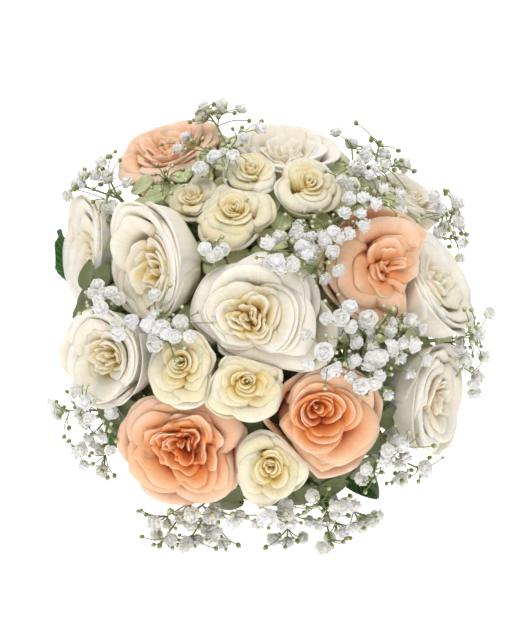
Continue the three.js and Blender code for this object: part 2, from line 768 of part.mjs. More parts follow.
for (const bloom of blooms) {
  const mesh = addMesh(bloom.name, fuse([bloomGeometry(bloom)]), petalsOf(bloom.name));
  mesh.position.copy(bloom.centre);
  mesh.quaternion.setFromRotationMatrix(
    new THREE.Matrix4().makeBasis(bloom.right, bloom.top, bloom.facing),
  );
}

blooms.forEach((bloom, i) => {
  addMesh(stems[i].name, fuse([stems[i].tube, calyx(bloom, stems[i].radius)]), GREEN_STEM);
});
SPRIGS.forEach((sprig, i) => addMesh(`gypsophila_${i + 1}`, sprigShape(sprig, i), WHITE_FLORET));
LEAVES.forEach((leaf, i) => addMesh(`leaf_${i + 1}`, leafShape(leaf, i), DARK_LEAF));

// The wraps are sleeves round the bundle: the tape a plain ring, the ribbon a stack of turns that each
// overlap the one below.
const bundleRadius = Math.max(...stems.map((stem) => stem.slot.length() + stem.radius)) + FIT_GAP;

function sleeve(name, outline, finish) {
  const shape = new THREE.LatheGeometry(outline, SLEEVE_SEGMENTS);
  shape.rotateX(Math.PI / 2);
  addMesh(name, fuse([shape]), finish);
}

function ribbonOutline() {
  const outline = [new THREE.Vector2(bundleRadius, RIBBON_END_Z)];
  const turn = (RIBBON_TOP_Z - RIBBON_END_Z) / RIBBON_TURNS;
  for (let k = 0; k < RIBBON_TURNS; k++) {
    const low = RIBBON_END_Z + k * turn;
    outline.push(new THREE.Vector2(bundleRadius + RIBBON_THICK + RIBBON_STEP, low));
    outline.push(new THREE.Vector2(bundleRadius + RIBBON_THICK, low + turn - FIT_GAP));
  }
  outline.push(new THREE.Vector2(bundleRadius + RIBBON_THICK, RIBBON_TOP_Z));
  outline.push(new THREE.Vector2(bundleRadius, RIBBON_TOP_Z));
  outline.push(outline[0].clone());
  return outline;
}

sleeve("ribbon_wrap", ribbonOutline(), SATIN);
sleeve(
  "binding_tape",
  [
    new THREE.Vector2(bundleRadius, BINDING_Z - TAPE_WIDTH),
    new THREE.Vector2(bundleRadius + TAPE_THICK, BINDING_Z - TAPE_WIDTH),
    new THREE.Vector2(bundleRadius + TAPE_THICK, BINDING_Z),
    new THREE.Vector2(bundleRadius, BINDING_Z),
    new THREE.Vector2(bundleRadius, BINDING_Z - TAPE_WIDTH),
  ],
  TAPE,
);

const part = new THREE.Group();
part.add(bouquet);

// The whole bouquet is set on the table, with the origin under its middle.
const box = new THREE.Box3().setFromObject(part, true);
const middle = box.getCenter(new THREE.Vector3());
bouquet.position.set(-middle.x, -middle.y, -box.min.z);

export default part;
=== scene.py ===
import math

import bpy
import numpy as np
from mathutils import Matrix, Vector


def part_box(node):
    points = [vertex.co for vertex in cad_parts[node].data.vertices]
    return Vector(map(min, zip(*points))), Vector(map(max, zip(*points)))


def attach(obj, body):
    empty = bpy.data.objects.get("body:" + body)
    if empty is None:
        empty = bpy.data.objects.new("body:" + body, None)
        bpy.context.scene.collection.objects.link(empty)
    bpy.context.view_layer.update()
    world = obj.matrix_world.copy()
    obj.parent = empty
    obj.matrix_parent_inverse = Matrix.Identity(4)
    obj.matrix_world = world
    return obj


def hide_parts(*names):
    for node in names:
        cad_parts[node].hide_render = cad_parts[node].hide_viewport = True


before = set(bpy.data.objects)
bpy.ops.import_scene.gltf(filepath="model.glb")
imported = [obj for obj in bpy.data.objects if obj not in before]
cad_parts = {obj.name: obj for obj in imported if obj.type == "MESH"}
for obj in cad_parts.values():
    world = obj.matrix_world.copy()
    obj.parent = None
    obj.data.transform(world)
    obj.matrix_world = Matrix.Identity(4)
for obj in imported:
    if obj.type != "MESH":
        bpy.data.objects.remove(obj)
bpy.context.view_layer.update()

# The looks of a round bridal bouquet that lies on a table: petals, florets, stems, leaves and ribbon.
# Shapes are worked out in millimetres in the bouquet's own frame, where z runs up the handle to the
# flowers and the origin is the middle of the head, and turned into the frame's metres at the end.

# Measures

# The dome of the head, the binding, and the cut ends of the stems
HEAD_RADIUS = 132.0
HEAD_HEIGHT = 86.0
BINDING_Z = -95.0
CUT_Z = -255.0
# How far the handle rises as the bouquet lies, in degrees, and the gap between touching pieces
LIE_TILT = 29.0
FIT_GAP = 0.3
# The photo's line of sight: how far it leans from the handle's axis, and how far off its camera is
SIGHT_TILT = math.radians(15)
SIGHT_DISTANCE = 1000.0
GOLDEN_ANGLE = math.pi * (3 - math.sqrt(5))

# Blooms: name, style, across and up as seen, width and height of the mouth, depth, the yaw and pitch
# that it faces, how far its mouth stands out of the dome, a guard petal's angle and reach, where the
# eye lies in the mouth (across, up), and the turn of its petals.
BLOOMS = [
    ("rose_white_1", "cup", -6, 5, 80, 80, 50, -8, 10, 4, -38, 1.25, (-0.12, 0.0), 20),
    ("rose_white_2", "bowl", -83, 38, 64, 78, 46, -42, -10, 8, 0, 1, (0.34, -0.30), 70),
    ("rose_white_3", "deep", -122, 48, 60, 74, 46, -60, 0, -12, 0, 1, (0.1, -0.3), 150),
    ("rose_white_4", "bowl", -110, -24, 66, 62, 44, -38, -5, 0, 0, 1, (0.2, 0.0), 200),
    ("rose_white_5", "bowl", 15, 119, 70, 66, 44, 8, 56, -4, 0, 1, (0.0, -0.1), 40),
    ("rose_white_6", "bowl", 102, 88, 52, 50, 46, 50, 48, 0, 0, 1, (0.0, 0.0), 100),
    ("rose_white_7", "deep", 121, 30, 64, 74, 48, 55, 26, 0, 0, 1, (0.2, 0.1), 10),
    ("rose_white_8", "deep", 121, -52, 66, 72, 46, 58, -5, 0, 0, 1, (0.3, 0.0), 75),
    ("rose_peach_1", "quartered", -64, 120, 76, 72, 46, -28, 50, 0, 0, 1, (0.0, -0.05), 30),
    ("rose_peach_2", "open", 84, 38, 84, 74, 48, 26, 5, 2, 0, 1, (0.1, -0.02), 120),
    ("rose_peach_3", "quartered", -55, -86, 82, 72, 50, -12, -12, 0, 0, 1, (0.05, 0.14), 10),
    ("rose_peach_4", "nested", 44, -70, 77, 69, 50, 12, -12, 2, 0, 1, (-0.2, 0.42), 60),
    ("spray_rose_1", "bud", -20, 75, 52, 46, 32, -5, 25, 0, 0, 1, (0.05, 0.1), 0),
    ("spray_rose_2", "bud", -7, 104, 35, 38, 30, 0, 40, 2, 0, 1, (0.0, 0.0), 50),
    ("spray_rose_3", "bud", 32, 94, 42, 42, 32, 12, 30, 2, 0, 1, (0.0, 0.0), 80),
    ("spray_rose_4", "bud", -47, 85, 32, 30, 28, -20, 30, -4, 0, 1, (0.0, 0.0), 10),
    ("spray_rose_5", "bud", -55, -30, 45, 46, 32, -18, 5, 4, 0, 1, (0.0, 0.2), 140),
    ("spray_rose_6", "bud", -11, -44, 52, 42, 32, 3, -8, 4, 0, 1, (0.05, 0.25), 40),
    ("spray_rose_7", "bud", 5, -100, 44, 50, 34, -5, -16, 2, 0, 1, (0.0, 0.2), 100),
]

# Layers of petals, from the outermost: radius and height of the rim as shares of the mouth's radius and
# of the depth, number of petals, half the angle that one spans, how far its rim leans out in degrees,
# how far the rim rolls back, how much it is ruffled, and how unlike each other its petals are.
STYLES = {
    "bowl": [
        (1.02, 0.96, 4, 64, 18, 0.07, 0.012, 0.2),
        (0.96, 0.98, 3, 84, 22, 0.06, 0.012, 0.3),
        (0.86, 1.00, 3, 80, 26, 0.05, 0.014, 0.4),
        (0.66, 0.93, 3, 74, 30, 0.03, 0.030, 0.7),
        (0.58, 0.94, 3, 66, 26, 0.02, 0.035, 0.8),
        (0.50, 0.93, 3, 70, 24, 0.01, 0.040, 0.8),
        (0.42, 0.93, 3, 66, 20, 0.01, 0.045, 0.8),
        (0.34, 0.92, 3, 66, 16, 0.0, 0.045, 0.8),
        (0.27, 0.91, 3, 66, 14, 0.0, 0.045, 0.8),
        (0.20, 0.91, 2, 96, 12, 0.0, 0.040, 0.8),
        (0.13, 0.90, 2, 96, 8, 0.0, 0.035, 0.6),
        (0.05, 0.89, 1, 150, 0, 0.0, 0.020, 0.4),
    ],
    "deep": [
        (1.02, 0.97, 4, 64, 16, 0.06, 0.012, 0.2),
        (0.96, 0.99, 3, 86, 18, 0.05, 0.010, 0.3),
        (0.88, 1.00, 3, 86, 20, 0.04, 0.010, 0.3),
        (0.72, 0.93, 3, 80, 44, 0.05, 0.018, 0.5),
        (0.57, 0.92, 3, 76, 36, 0.03, 0.026, 0.6),
        (0.45, 0.91, 3, 72, 28, 0.02, 0.034, 0.7),
        (0.35, 0.90, 3, 70, 22, 0.01, 0.040, 0.7),
        (0.26, 0.90, 3, 68, 16, 0.0, 0.040, 0.7),
        (0.18, 0.89, 2, 96, 12, 0.0, 0.036, 0.6),
        (0.11, 0.88, 2, 96, 8, 0.0, 0.034, 0.5),
        (0.04, 0.87, 1, 150, 4, 0.0, 0.020, 0.4),
    ],
    "cup": [
        (1.02, 0.78, 4, 62, 30, 0.08, 0.010, 0.2),
        (0.99, 0.86, 3, 84, 52, 0.08, 0.012, 0.4),
        (0.88, 0.94, 3, 84, 44, 0.06, 0.010, 0.3),
        (0.80, 0.99, 3, 80, 32, 0.04, 0.008, 0.4),
        (0.75, 1.00, 2, 112, 26, 0.03, 0.008, 0.4),
        (0.70, 0.98, 3, 84, 22, 0.02, 0.010, 0.4),
        (0.57, 0.93, 3, 76, 28, 0.03, 0.020, 0.6),
        (0.50, 0.93, 3, 72, 24, 0.02, 0.026, 0.6),
        (0.42, 0.92, 3, 70, 20, 0.01, 0.030, 0.6),
        (0.34, 0.92, 3, 68, 16, 0.0, 0.034, 0.6),
        (0.26, 0.91, 3, 66, 12, 0.0, 0.034, 0.6),
        (0.18, 0.90, 2, 96, 8, 0.0, 0.032, 0.5),
        (0.10, 0.89, 2, 96, 6, 0.0, 0.030, 0.5),
        (0.04, 0.87, 1, 150, 4, 0.0, 0.030, 0.4),
    ],
    "quartered": [
        (1.02, 0.80, 4, 62, 34, 0.09, 0.016, 0.2),
        (0.97, 0.86, 4, 62, 56, 0.08, 0.018, 0.5),
        (0.86, 0.91, 4, 62, 52, 0.05, 0.020, 0.6),
        (0.76, 0.95, 4, 58, 44, 0.03, 0.030, 0.7),
        (0.67, 0.97, 4, 56, 36, 0.02, 0.035, 0.8),
        (0.59, 0.97, 4, 56, 30, 0.02, 0.040, 0.8),
        (0.51, 0.96, 4, 54, 26, 0.01, 0.045, 0.8),
        (0.43, 0.95, 4, 54, 22, 0.0, 0.050, 0.8),
        (0.36, 0.94, 3, 66, 18, 0.0, 0.050, 0.8),
        (0.28, 0.93, 3, 66, 16, 0.0, 0.050, 0.8),
        (0.21, 0.92, 3, 66, 12, 0.0, 0.045, 0.8),
        (0.13, 0.92, 2, 96, 8, 0.0, 0.040, 0.6),
        (0.05, 0.91, 1, 150, 0, 0.0, 0.030, 0.4),
    ],
    "nested": [
        (1.02, 0.74, 4, 60, 30, 0.09, 0.014, 0.2),
        (0.98, 0.81, 3, 80, 60, 0.07, 0.016, 0.3),
        (0.86, 0.88, 3, 78, 56, 0.05, 0.014, 0.4),
        (0.74, 0.93, 3, 78, 48, 0.03, 0.012, 0.4),
        (0.63, 0.97, 3, 78, 40, 0.02, 0.012, 0.4),
        (0.53, 0.98, 3, 78, 34, 0.01, 0.012, 0.4),
        (0.44, 0.97, 3, 80, 28, 0.0, 0.012, 0.4),
        (0.36, 0.96, 3, 80, 22, 0.0, 0.012, 0.3),
        (0.28, 0.95, 2, 108, 16, 0.0, 0.012, 0.3),
        (0.20, 0.94, 2, 108, 12, 0.0, 0.012, 0.3),
        (0.12, 0.93, 2, 112, 6, 0.0, 0.010, 0.2),
        (0.05, 0.92, 1, 165, 0, 0.0, 0.005, 0.0),
    ],
    "open": [
        (1.02, 0.78, 4, 60, 34, 0.08, 0.020, 0.3),
        (0.98, 0.86, 3, 76, 60, 0.07, 0.024, 0.6),
        (0.84, 0.92, 3, 72, 54, 0.06, 0.028, 0.7),
        (0.68, 0.98, 3, 70, 40, 0.04, 0.035, 0.8),
        (0.54, 0.98, 3, 70, 32, 0.03, 0.04, 0.8),
        (0.41, 0.95, 3, 70, 26, 0.02, 0.045, 0.8),
        (0.29, 0.93, 3, 68, 20, 0.01, 0.05, 0.8),
        (0.18, 0.92, 2, 96, 12, 0.0, 0.05, 0.8),
        (0.08, 0.91, 1, 150, 4, 0.0, 0.03, 0.6),
    ],
    "bud": [
        (1.02, 0.80, 3, 78, 34, 0.12, 0.012, 0.3),
        (0.96, 0.87, 3, 74, 58, 0.12, 0.012, 0.6),
        (0.82, 0.91, 3, 72, 52, 0.10, 0.010, 0.6),
        (0.66, 0.94, 3, 70, 42, 0.08, 0.010, 0.6),
        (0.51, 0.99, 3, 72, 26, 0.05, 0.008, 0.5),
        (0.39, 0.99, 2, 108, 16, 0.02, 0.008, 0.4),
        (0.29, 0.98, 2, 112, 12, 0.01, 0.008, 0.3),
        (0.20, 0.97, 2, 114, 8, 0.0, 0.006, 0.2),
        (0.12, 0.97, 2, 118, 4, 0.0, 0.006, 0.2),
        (0.05, 0.96, 1, 165, 0, 0.0, 0.004, 0.0),
    ],
}
# How many lobes the inner layers are folded into, and how deep.
FOLDS = {
    "bowl": (2, 0.26),
    "deep": (2, 0.20),
    "cup": (3, 0.20),
    "quartered": (3, 0.34),
    "nested": (2, 0.04),
    "open": (3, 0.18),
    "bud": (3, 0.02),
}
# How deep the colour of the folds is in the blooms that differ from the rest: partly the rose's own colour,
# partly painted shade in the folds.
FOLD_TONE_AND_SHADE = {
    "rose_peach_1": 0.3,
    "rose_peach_2": 0.65,
    "rose_peach_3": 1.6,
    "rose_peach_4": 1.6,
    "rose_white_1": 1.15,
    "rose_white_2": 1.15,
    "rose_white_3": 0.8,
    "rose_white_5": 0.6,
    "rose_white_7": 0.6,
    "rose_white_8": 0.6,
    "spray_rose_5": 1.3,
    "spray_rose_6": 1.6,
    "spray_rose_7": 1.6,
}
# How far chance moves a petal's angle, half angle, radius, height and lean: at least, and what being
# unlike its neighbours adds. Then the least share of its roll and ruffle, and what chance adds.
PETAL_CHANCES = [(0.3, 0.5), (0.16, 0.2), (0.04, 0.14), (0.04, 0.07), (0.0, 0.5)]
CURL_LEAST, CURL_SPREAD = 0.6, 0.8
# The grids of the petals: the least radius of their rims, where the grids start, rows and columns.
PETAL_GRIDS = [(0.975, 0.0, 15, 25), (0.6, 0.25, 12, 25), (0.0, 0.45, 9, 17)]
# What a small bloom's grids have less, in rows and columns
SMALL_LESS = (2, 6)
# A petal's thickness at its rim, what it gains to its foot, what packed petals gain below their rims
# as a share of the mouth's radius, and how much of it all lies on the outer side
RIM_THICK = 0.35
FOOT_THICK = 1.0
PACKED_THICK = 1.1
OUTER_THICK = 0.2
# How green the feet of the outer petals are
GUARD_TINT = 0.4
PEACH_TINT = 0.15

# Radii of the stems
LARGE_STEM = 3.0
SMALL_STEM = 2.0
SPRIG_STEM = 1.4
LEAF_STEM = 1.3
# The calyx under a rose, its hip and sepals, and its gap to the bloom
CALYX_DEPTH = 12.0
CALYX_GAP = 0.9
HIP_SIDES = 14
SEPALS = 5
SEPAL_THICK = 0.5
# How far a stem runs straight from its flower and into the binding
STEM_REACH_TOP = 34.0
STEM_REACH_BINDING = 45.0
# The sides of the stems of roses and of the rest
ROSE_STEM_SIDES = 12
STEM_SIDES = 8
# The points of a stem's course, those that stay put at each end, and those inside its own bloom
STEM_POINTS = 37
FREE_END = 2
OWN_POINTS = 8
# The gap that stems are bent to keep, and the share of a flower's place that its slot starts with
STEM_GAP = 1.2
SLOT_SHARE = 0.14
# The rules that pack the handle, bend the stems and push places off the blooms: how many rounds, and
# what share of a move each round makes
PACK_ROUNDS, PACK_PULL, PACK_PUSH = 600, 0.01, 0.25
BEND_ROUNDS, BEND_PUSH, BLOOM_PUSH, BEND_SMOOTH = 80, 0.12, 0.5, 0.3
PUSH_ROUNDS = 30
# Tubes are drawn in to this share of their radius at their ends
END_SHARE = 0.02

# Sprigs of gypsophila: the fork as seen (across, up, toward), across and up of the crown's middle, half
# width, half height and turn of the crown, how high it stands over the dome, and its count of tips.
SPRIGS = [
    ((36, 56, 44), 38, 50, 38, 18, 35, 6, 10),
    ((60, 92, 20), 72, 98, 24, 30, -30, 6, 8),
    ((-22, 114, 2), -32, 118, 20, 26, 20, 8, 8),
    ((66, -12, 48), 68, -14, 32, 30, 0, 6, 9),
    ((-61, -5, 44), -60, -2, 14, 12, 0, 2, 4),
    ((-98, -58, -10), -114, -72, 20, 30, 35, 0, 7),
    ((-30, -100, -20), -44, -132, 34, 14, 0, 0, 8),
    ((30, -100, -15), 36, -130, 44, 16, 0, 0, 9),
    ((112, -12, -20), 132, -14, 10, 22, 0, 0, 5),
    ((80, -80, -15), 86, -92, 20, 18, 0, 0, 5),
    ((-94, 82, -30), -108, 88, 18, 14, 40, 0, 5),
    ((112, 54, -30), 120, 64, 16, 10, -30, 0, 5),
]
# Radii of the tips of the crown, and which of them are buds
FLORET_RADIUS, FLORET_SPREAD = 4.4, 1.6
BUD_RADIUS, BUD_EVERY = 1.9, 4
STAND_LEAST = 0.4
SEEDS_IN_SPRIG = 40
TWIG_RADIUS = 0.8
# A sprig's arms, and where between its stem and its tips an arm bends
ARMS = 3
JOINT_SHARE = 0.55
# A tip under this height is pressed down onto the table
PRESS_HEIGHT = 6.0
CLEAR_ROUNDS, CLEAR_STEPS = 3, 40
# The petals of a floret and their thickness, how much fuller than its solid it is, and the grids of its
# core, of a bud and of a twig
FLORET_PETALS = 15
FLORET_THICK = 0.2
FLORET_BLOWN = 1.1
CORE_ROWS, CORE_SIDES = 7, 10
BUD_ROWS, BUD_SIDES = 7, 8
TWIG_SIDES = 5
# How far the first petal of a floret is opened in degrees, and how much further the last
FLORET_OPENED, FLORET_OPENING = 14, 92
# A petal's grid along it, its half width there as shares of the radius, and its length: at least, and
# what chance adds
SPOON_STEPS = (0.2, 0.7, 1.0)
SPOON_HALVES = (0.22, 0.50, 0.40)
SPOON_LENGTH, SPOON_SPREAD = 0.86, 0.18
# The ball in the ruff: its radius as a share of the floret's, and how uneven it is
CORE_SHARE = 0.62
CORE_UNEVEN = 0.10
# A bud's half width and half height as shares of its radius, and its rings' tones, green below
BUD_WIDE, BUD_HIGH = 0.86, 1.12
BUD_TONES = (1, 1, 1, 1, 0.75, 0.6, 0.7)
# Small florets and buds added to the crown's: round each of its tips, and below it
EXTRA_TIPS = 6
LOWER_TIPS = 34
# Their radii: florets, those of the clusters beside a crown, buds with their spread, and lower buds
SMALL_FLORET = 3.8
CLUSTER_FLORET = 3.6
SMALL_BUD, SMALL_BUD_SPREAD = 1.2, 0.7
LOWER_BUD = 1.7
# The share of buds among the small tips of each sprig
BUD_SHARES = [0.45, 0.72, 0.85, 0.45, 0.4, 0.72, 0.6, 0.55, 0.8, 0.78, 0.88, 0.88]
# Clusters beside the crowns, by sprig: across and up of the middle, spread, and count of tips
SIDE_CLUSTERS = {
    0: [(-31, 48, 8, 9)],
    2: [(-62, 92, 13, 14), (-36, 100, 8, 7)],
    4: [(-104, 13, 12, 14), (-88, -4, 7, 6)],
    3: [(86, 2, 12, 9)],
}
# Radii of twigs: an arm, to a tip of the crown, to a cluster's hub, to lower and to small tips
ARM_TWIG, TIP_TWIG, HUB_TWIG, LOWER_TWIG, SMALL_TWIG = 0.7, 0.5, 0.6, 0.4, 0.38
# How far small tips stand from the crown's tip: the least, the last one's least, and what chance adds
EXTRA_LEAST, LAST_LEAST, EXTRA_SPREAD = 6, 14, 8
# Over how many millimetres they are scattered out of the dome, and where on the crown's twig, from its
# bend to its tip, their own twigs fork off
EXTRA_DEPTH = 6
EXTRA_FORK = 0.3
# How far twigs arch in millimetres: to small tips, to lower tips, and down to a cluster's hub
SMALL_ARCH, LOWER_ARCH, HUB_ARCH = 1.5, 2, 14
# How deep under the dome lower tips, a cluster's tips and its hub are, and what chance adds or takes
LOWER_DEPTH, LOWER_SPREAD = 3, 15
CLUSTER_DEPTH, CLUSTER_SPREAD = 6, 8
HUB_DEPTH = 22
# Circles as seen (across, up, radius) over blooms that no added floret hides
CLEARINGS = [(84, 36, 33), (-5, 22, 20)]

# Leaves: the foot and the tip of the blade as seen (across, up, toward), and its width.
LEAVES = [
    ((-108, 28, -40), (-134, 60, -40), 26),
    ((-76, -50, -28), (-104, -86, -36), 28),
    ((-14, -58, 6), (-24, -82, 30), 20),
    ((24, -90, -30), (52, -126, -8), 26),
    ((50, -84, -30), (76, -116, -4), 24),
    ((62, 74, -56), (92, 92, -74), 26),
    ((-62, 80, -64), (-84, 104, -80), 26),
]
# How far a leaf is folded and arched, as shares of its width and length, how far it runs back over its
# stalk, how much it turns to the viewer, its thickness, and its gap to the blooms
LEAF_FOLD, LEAF_ARCH, LEAF_ROOT, LEAF_TO_VIEW = 0.12, 0.18, 1.0, 0.6
LEAF_THICK = 0.55
LEAF_CLEAR = 0.8
# The uneven margin: how deep and how many times along it, and the waves of the blade: their height in
# millimetres, how many radians they run along it, and how far they slant
LEAF_MARGIN, MARGIN_STEPS = 0.05, 20
LEAF_WAVE, LEAF_WAVES, LEAF_WAVE_SLANT = 0.25, 44, 5
# The grids of a blade, along and across
LEAF_GRID = (41, 13)
YOUNG_GRID = (17, 7)
# Young leaves on the stems of the roses: how many spots are tried, how high above the table they lie
# at least, and two layers of them: reach, depth under the dome, spacing, room to the blooms, and size
INNER_SPOTS = 900
INNER_LEAST_HEIGHT = 22
INNER_LAYERS = [(120, 24, 13, 1.0, 10), (118, 44, 17, -4.0, 19)]
# The stretch of a stem's points that they grow from, and the radius and sides of their stalks
INNER_POINTS = (2, 24)
STALK_RADIUS = 0.9
STALK_SIDES = 6
# Their half length and width as shares of their size: at least, and what chance adds
YOUNG_REACH, YOUNG_REACH_SPREAD = 0.85, 0.3
YOUNG_WIDTH, YOUNG_WIDTH_SPREAD = 1.3, 0.4
# How dark some of them are made at most, and where they are: lower on the head than y, or left of x, and
# over how many millimetres they darken
DARK_SHARE = 0.85
DARK_BELOW, DARK_BELOW_OVER = -10, 35
DARK_LEFT, DARK_LEFT_OVER = -78, 20

# The ribbon: its top and lower end, width, turns that climb, steps of a turn and across, and thickness
RIBBON_TOP_Z = -100.0
RIBBON_END_Z = -205.0
RIBBON_WIDTH = 26.0
RIBBON_TURNS = 5
RIBBON_STEPS, RIBBON_ROWS = 48, 9
RIBBON_THICK = 0.35
# What its radius gains: off the bundle, over the first turn, where it laps the turn below, over the
# last turn, and in its folds
RIBBON_GAP, RIBBON_RISE, RIBBON_LAP, RIBBON_LAST, RIBBON_FOLD = 0.4, 0.45, 0.55, 0.5, 0.12
# The tape: its width, thickness, the steps between its turns, its turns and its sides
TAPE_WIDTH = 4.0
TAPE_THICK = 0.7
TAPE_STEP = 0.3
TAPE_TURNS = 3
TAPE_SIDES = 64

# Patterns on Object coordinates, as counts per metre, and what they stand for: a petal's tone shifts
# over about 11 mm, a leaf's over 8 mm and the satin's over 17 mm, a floret's grain is 0.9 mm, the
# tape's creases are 2 mm apart, and the paper of the floor is cloudy over 125 mm
PETAL_PATCHES, LEAF_PATCHES, SATIN_PATCHES = 90.0, 120.0, 60.0
FLORET_GRAIN, TAPE_CREASES, PAPER_CLOUDS = 1100.0, 500.0, 8.0
# Patterns on UV: veins of a petal, 28 across its width of up to 60 mm; streaks of a stem, 9 round it,
# so about 2 mm wide, and 14 mm long; side veins of a leaf, as the sine of 62 of its lengths, so about
# 4 mm apart; and threads of the satin, whose UV is in centimetres, 0.07 mm apart
PETAL_VEINS = (28, 1.6, 1)
STEM_STREAKS = (9, 0.7, 1)
LEAF_VEINS = 62.0
SATIN_THREADS = 43.0
# A Mix node's sockets for colours: its factor, its two colours, and its output
FACTOR, FIRST, SECOND, MIXED = 0, 6, 7, 2

# The camera: metres from the middle of the head, degrees up, lens and shifts on its 36 mm sensor
CAMERA_DISTANCE = 1.0
CAMERA_LIFT = 14
CAMERA_LENS = 86.5
CAMERA_SHIFT = (-6 / 640, 2 / 640)
SENSOR_WIDTH = 36
# Soft lights: name, place and size in metres, and power in watts
LIGHTS = [
    ("key_light", (-0.3, -0.9, 1.45), 1.0, 10.0),
    ("fill_light", (0.1, -1.5, 0.6), 0.8, 1.8),
    ("top_light", (0.2, -0.4, 1.6), 1.0, 8.0),
]
WORLD_STRENGTH = 0.30
PAPER_GLOW = 0.68
# The sweep: half width, front and back of its floor, radius of its curve, height of its wall, steps
SWEEP = (4.0, -3.0, 1.2, 1.0, 4.0, 24)
# A surface's default tone
PLAIN = (0, 0, 0, 1)


# Places

def unit(vectors):
    """Each vector divided by its length."""
    return vectors / np.linalg.norm(vectors, axis=-1, keepdims=True)


def seen(across, up, toward):
    """A place as seen from the front, in the bouquet's frame: what stands nearer looks larger, so its
    distance from the line of sight shrinks with its nearness."""
    across, up, toward = (np.asarray(a, float) for a in (across, up, toward))
    scale = 1 - toward / SIGHT_DISTANCE
    rise = up * scale
    c, s = math.cos(SIGHT_TILT), math.sin(SIGHT_TILT)
    return np.stack([across * scale, rise * c - toward * s, rise * s + toward * c], -1)


def seen_direction(yaw, pitch):
    """The unit vector that points right by yaw and up by pitch, in degrees, as seen from the front."""
    turn, lift = math.radians(yaw), math.radians(pitch)
    rise, toward = math.sin(lift), math.cos(turn) * math.cos(lift)
    c, s = math.cos(SIGHT_TILT), math.sin(SIGHT_TILT)
    return np.array([math.sin(turn) * math.cos(lift), rise * c - toward * s, rise * s + toward * c])


def dome_nearness(across, up):
    """How near the dome (x^2 + y^2) / R^2 + z^2 / H^2 = 1 is along the line of sight."""
    across, up = np.asarray(across, float), np.asarray(up, float)
    c, s = math.cos(SIGHT_TILT), math.sin(SIGHT_TILT)
    wide, high = 1 / HEAD_RADIUS ** 2, 1 / HEAD_HEIGHT ** 2
    toward = np.zeros(np.broadcast(across, up).shape)
    for _ in range(6):
        scale = 1 - toward / SIGHT_DISTANCE
        x, rise = across * scale, up * scale
        a = s * s * wide + c * c * high
        b = 2 * rise * s * c * (high - wide)
        d = (x * x + rise * rise * c * c) * wide + rise * rise * s * s * high - 1
        toward = (-b + np.sqrt(np.maximum(0, b * b - 4 * a * d))) / (2 * a)
    return toward


TURN = math.radians(90 - LIE_TILT)
TO_ROW = np.array([[1, 0, 0],
                   [0, math.cos(TURN), -math.sin(TURN)],
                   [0, math.sin(TURN), math.cos(TURN)]])
low, high = (np.array(corner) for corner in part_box("binding_tape"))
TAPE_MIDDLE = np.array([0, 0, BINDING_Z - TAPE_WIDTH / 2])
ROW_SHIFT = (low + high) / 2 * 1000 - TO_ROW @ TAPE_MIDDLE


def to_row(points):
    """Millimetres in the bouquet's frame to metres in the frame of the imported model, on the table."""
    placed = points @ TO_ROW.T + ROW_SHIFT
    placed[..., 2] = np.maximum(placed[..., 2], 0)
    return placed / 1000


def scatter(n):
    """A share from 0 to 1 that looks random: the fraction of a large sine of n."""
    wave = np.sin(np.asarray(n, float) * 12.9898) * 43758.5453
    return wave - np.floor(wave)


def spiral(count, start, middle, half, lean=0.0, reach=1.0):
    """Places as seen on a sunflower's spiral over an ellipse: its middle, its half width and height,
    turned by lean degrees and widened by reach. Returns across and up."""
    k = np.arange(count)
    share, angle = reach * np.sqrt((k + 0.5) / count), k * GOLDEN_ANGLE + start
    x, y = share * half[0] * np.cos(angle), share * half[1] * np.sin(angle)
    c, s = math.cos(math.radians(lean)), math.sin(math.radians(lean))
    return middle[0] + x * c - y * s, middle[1] + x * s + y * c


def outward(places):
    """The way out of the dome at each place."""
    return unit(places / [HEAD_RADIUS ** 2, HEAD_RADIUS ** 2, HEAD_HEIGHT ** 2])


# The room of each bloom

def place_bloom(row):
    """A bloom's frame: facing is its axis, right and top lie in its mouth."""
    name, style, across, up, width, height, depth, yaw, pitch, out, guard, reach, eye, turn = row
    facing = seen_direction(yaw, pitch)
    mouth = seen(across, up, dome_nearness(across, up) + out)
    centre = mouth - facing * depth / 2
    upward = seen_direction(0, 90)
    top = unit(upward - facing * (upward @ facing))
    right = np.cross(top, facing)
    return dict(name=name, style=style, centre=centre, facing=facing, top=top, right=right,
                foot=centre - facing * (depth / 2 + FIT_GAP), guard=math.radians(guard), reach=reach,
                wide=width / 2, high=height / 2, half=depth / 2, eye=eye, turn=math.radians(turn),
                size=(width + height) / 4, normals=None, rooms=None)


def guard_share(bloom, angle):
    """How much further a guard petal reaches: (reach - 1) times the squared cosine off its angle."""
    return (bloom["reach"] - 1) * np.maximum(0, np.cos(angle - bloom["guard"])) ** 2


def form_reach(bloom, direction):
    """The reach of a bloom's form from its centre: an ellipsoid below, an oval drum above."""
    rise = direction @ bloom["facing"]
    side = np.sqrt(np.maximum(1e-9, 1 - rise * rise))
    angle = np.arctan2(direction @ bloom["top"], direction @ bloom["right"])
    oval = 1 / np.hypot(np.cos(angle) / bloom["wide"], np.sin(angle) / bloom["high"])
    radius = oval * (1 + guard_share(bloom, angle))
    below = 1 / np.sqrt((side / radius) ** 2 + (rise / bloom["half"]) ** 2)
    above = np.minimum(radius / side, bloom["half"] / np.maximum(rise, 1e-9))
    return np.where(rise < 0, below, above)


def set_walls(blooms):
    """Between two blooms runs a plane that shares the room by their reach."""
    for one in blooms:
        normals, rooms = [], []
        for other in blooms:
            if one is other:
                continue
            normal = other["centre"] - one["centre"]
            distance = np.linalg.norm(normal)
            normal = normal / distance
            mine, theirs = form_reach(one, normal), form_reach(other, -normal)
            normals.append(normal)
            rooms.append((distance - FIT_GAP) * mine / (mine + theirs))
        one["normals"], one["rooms"] = np.array(normals), np.array(rooms)


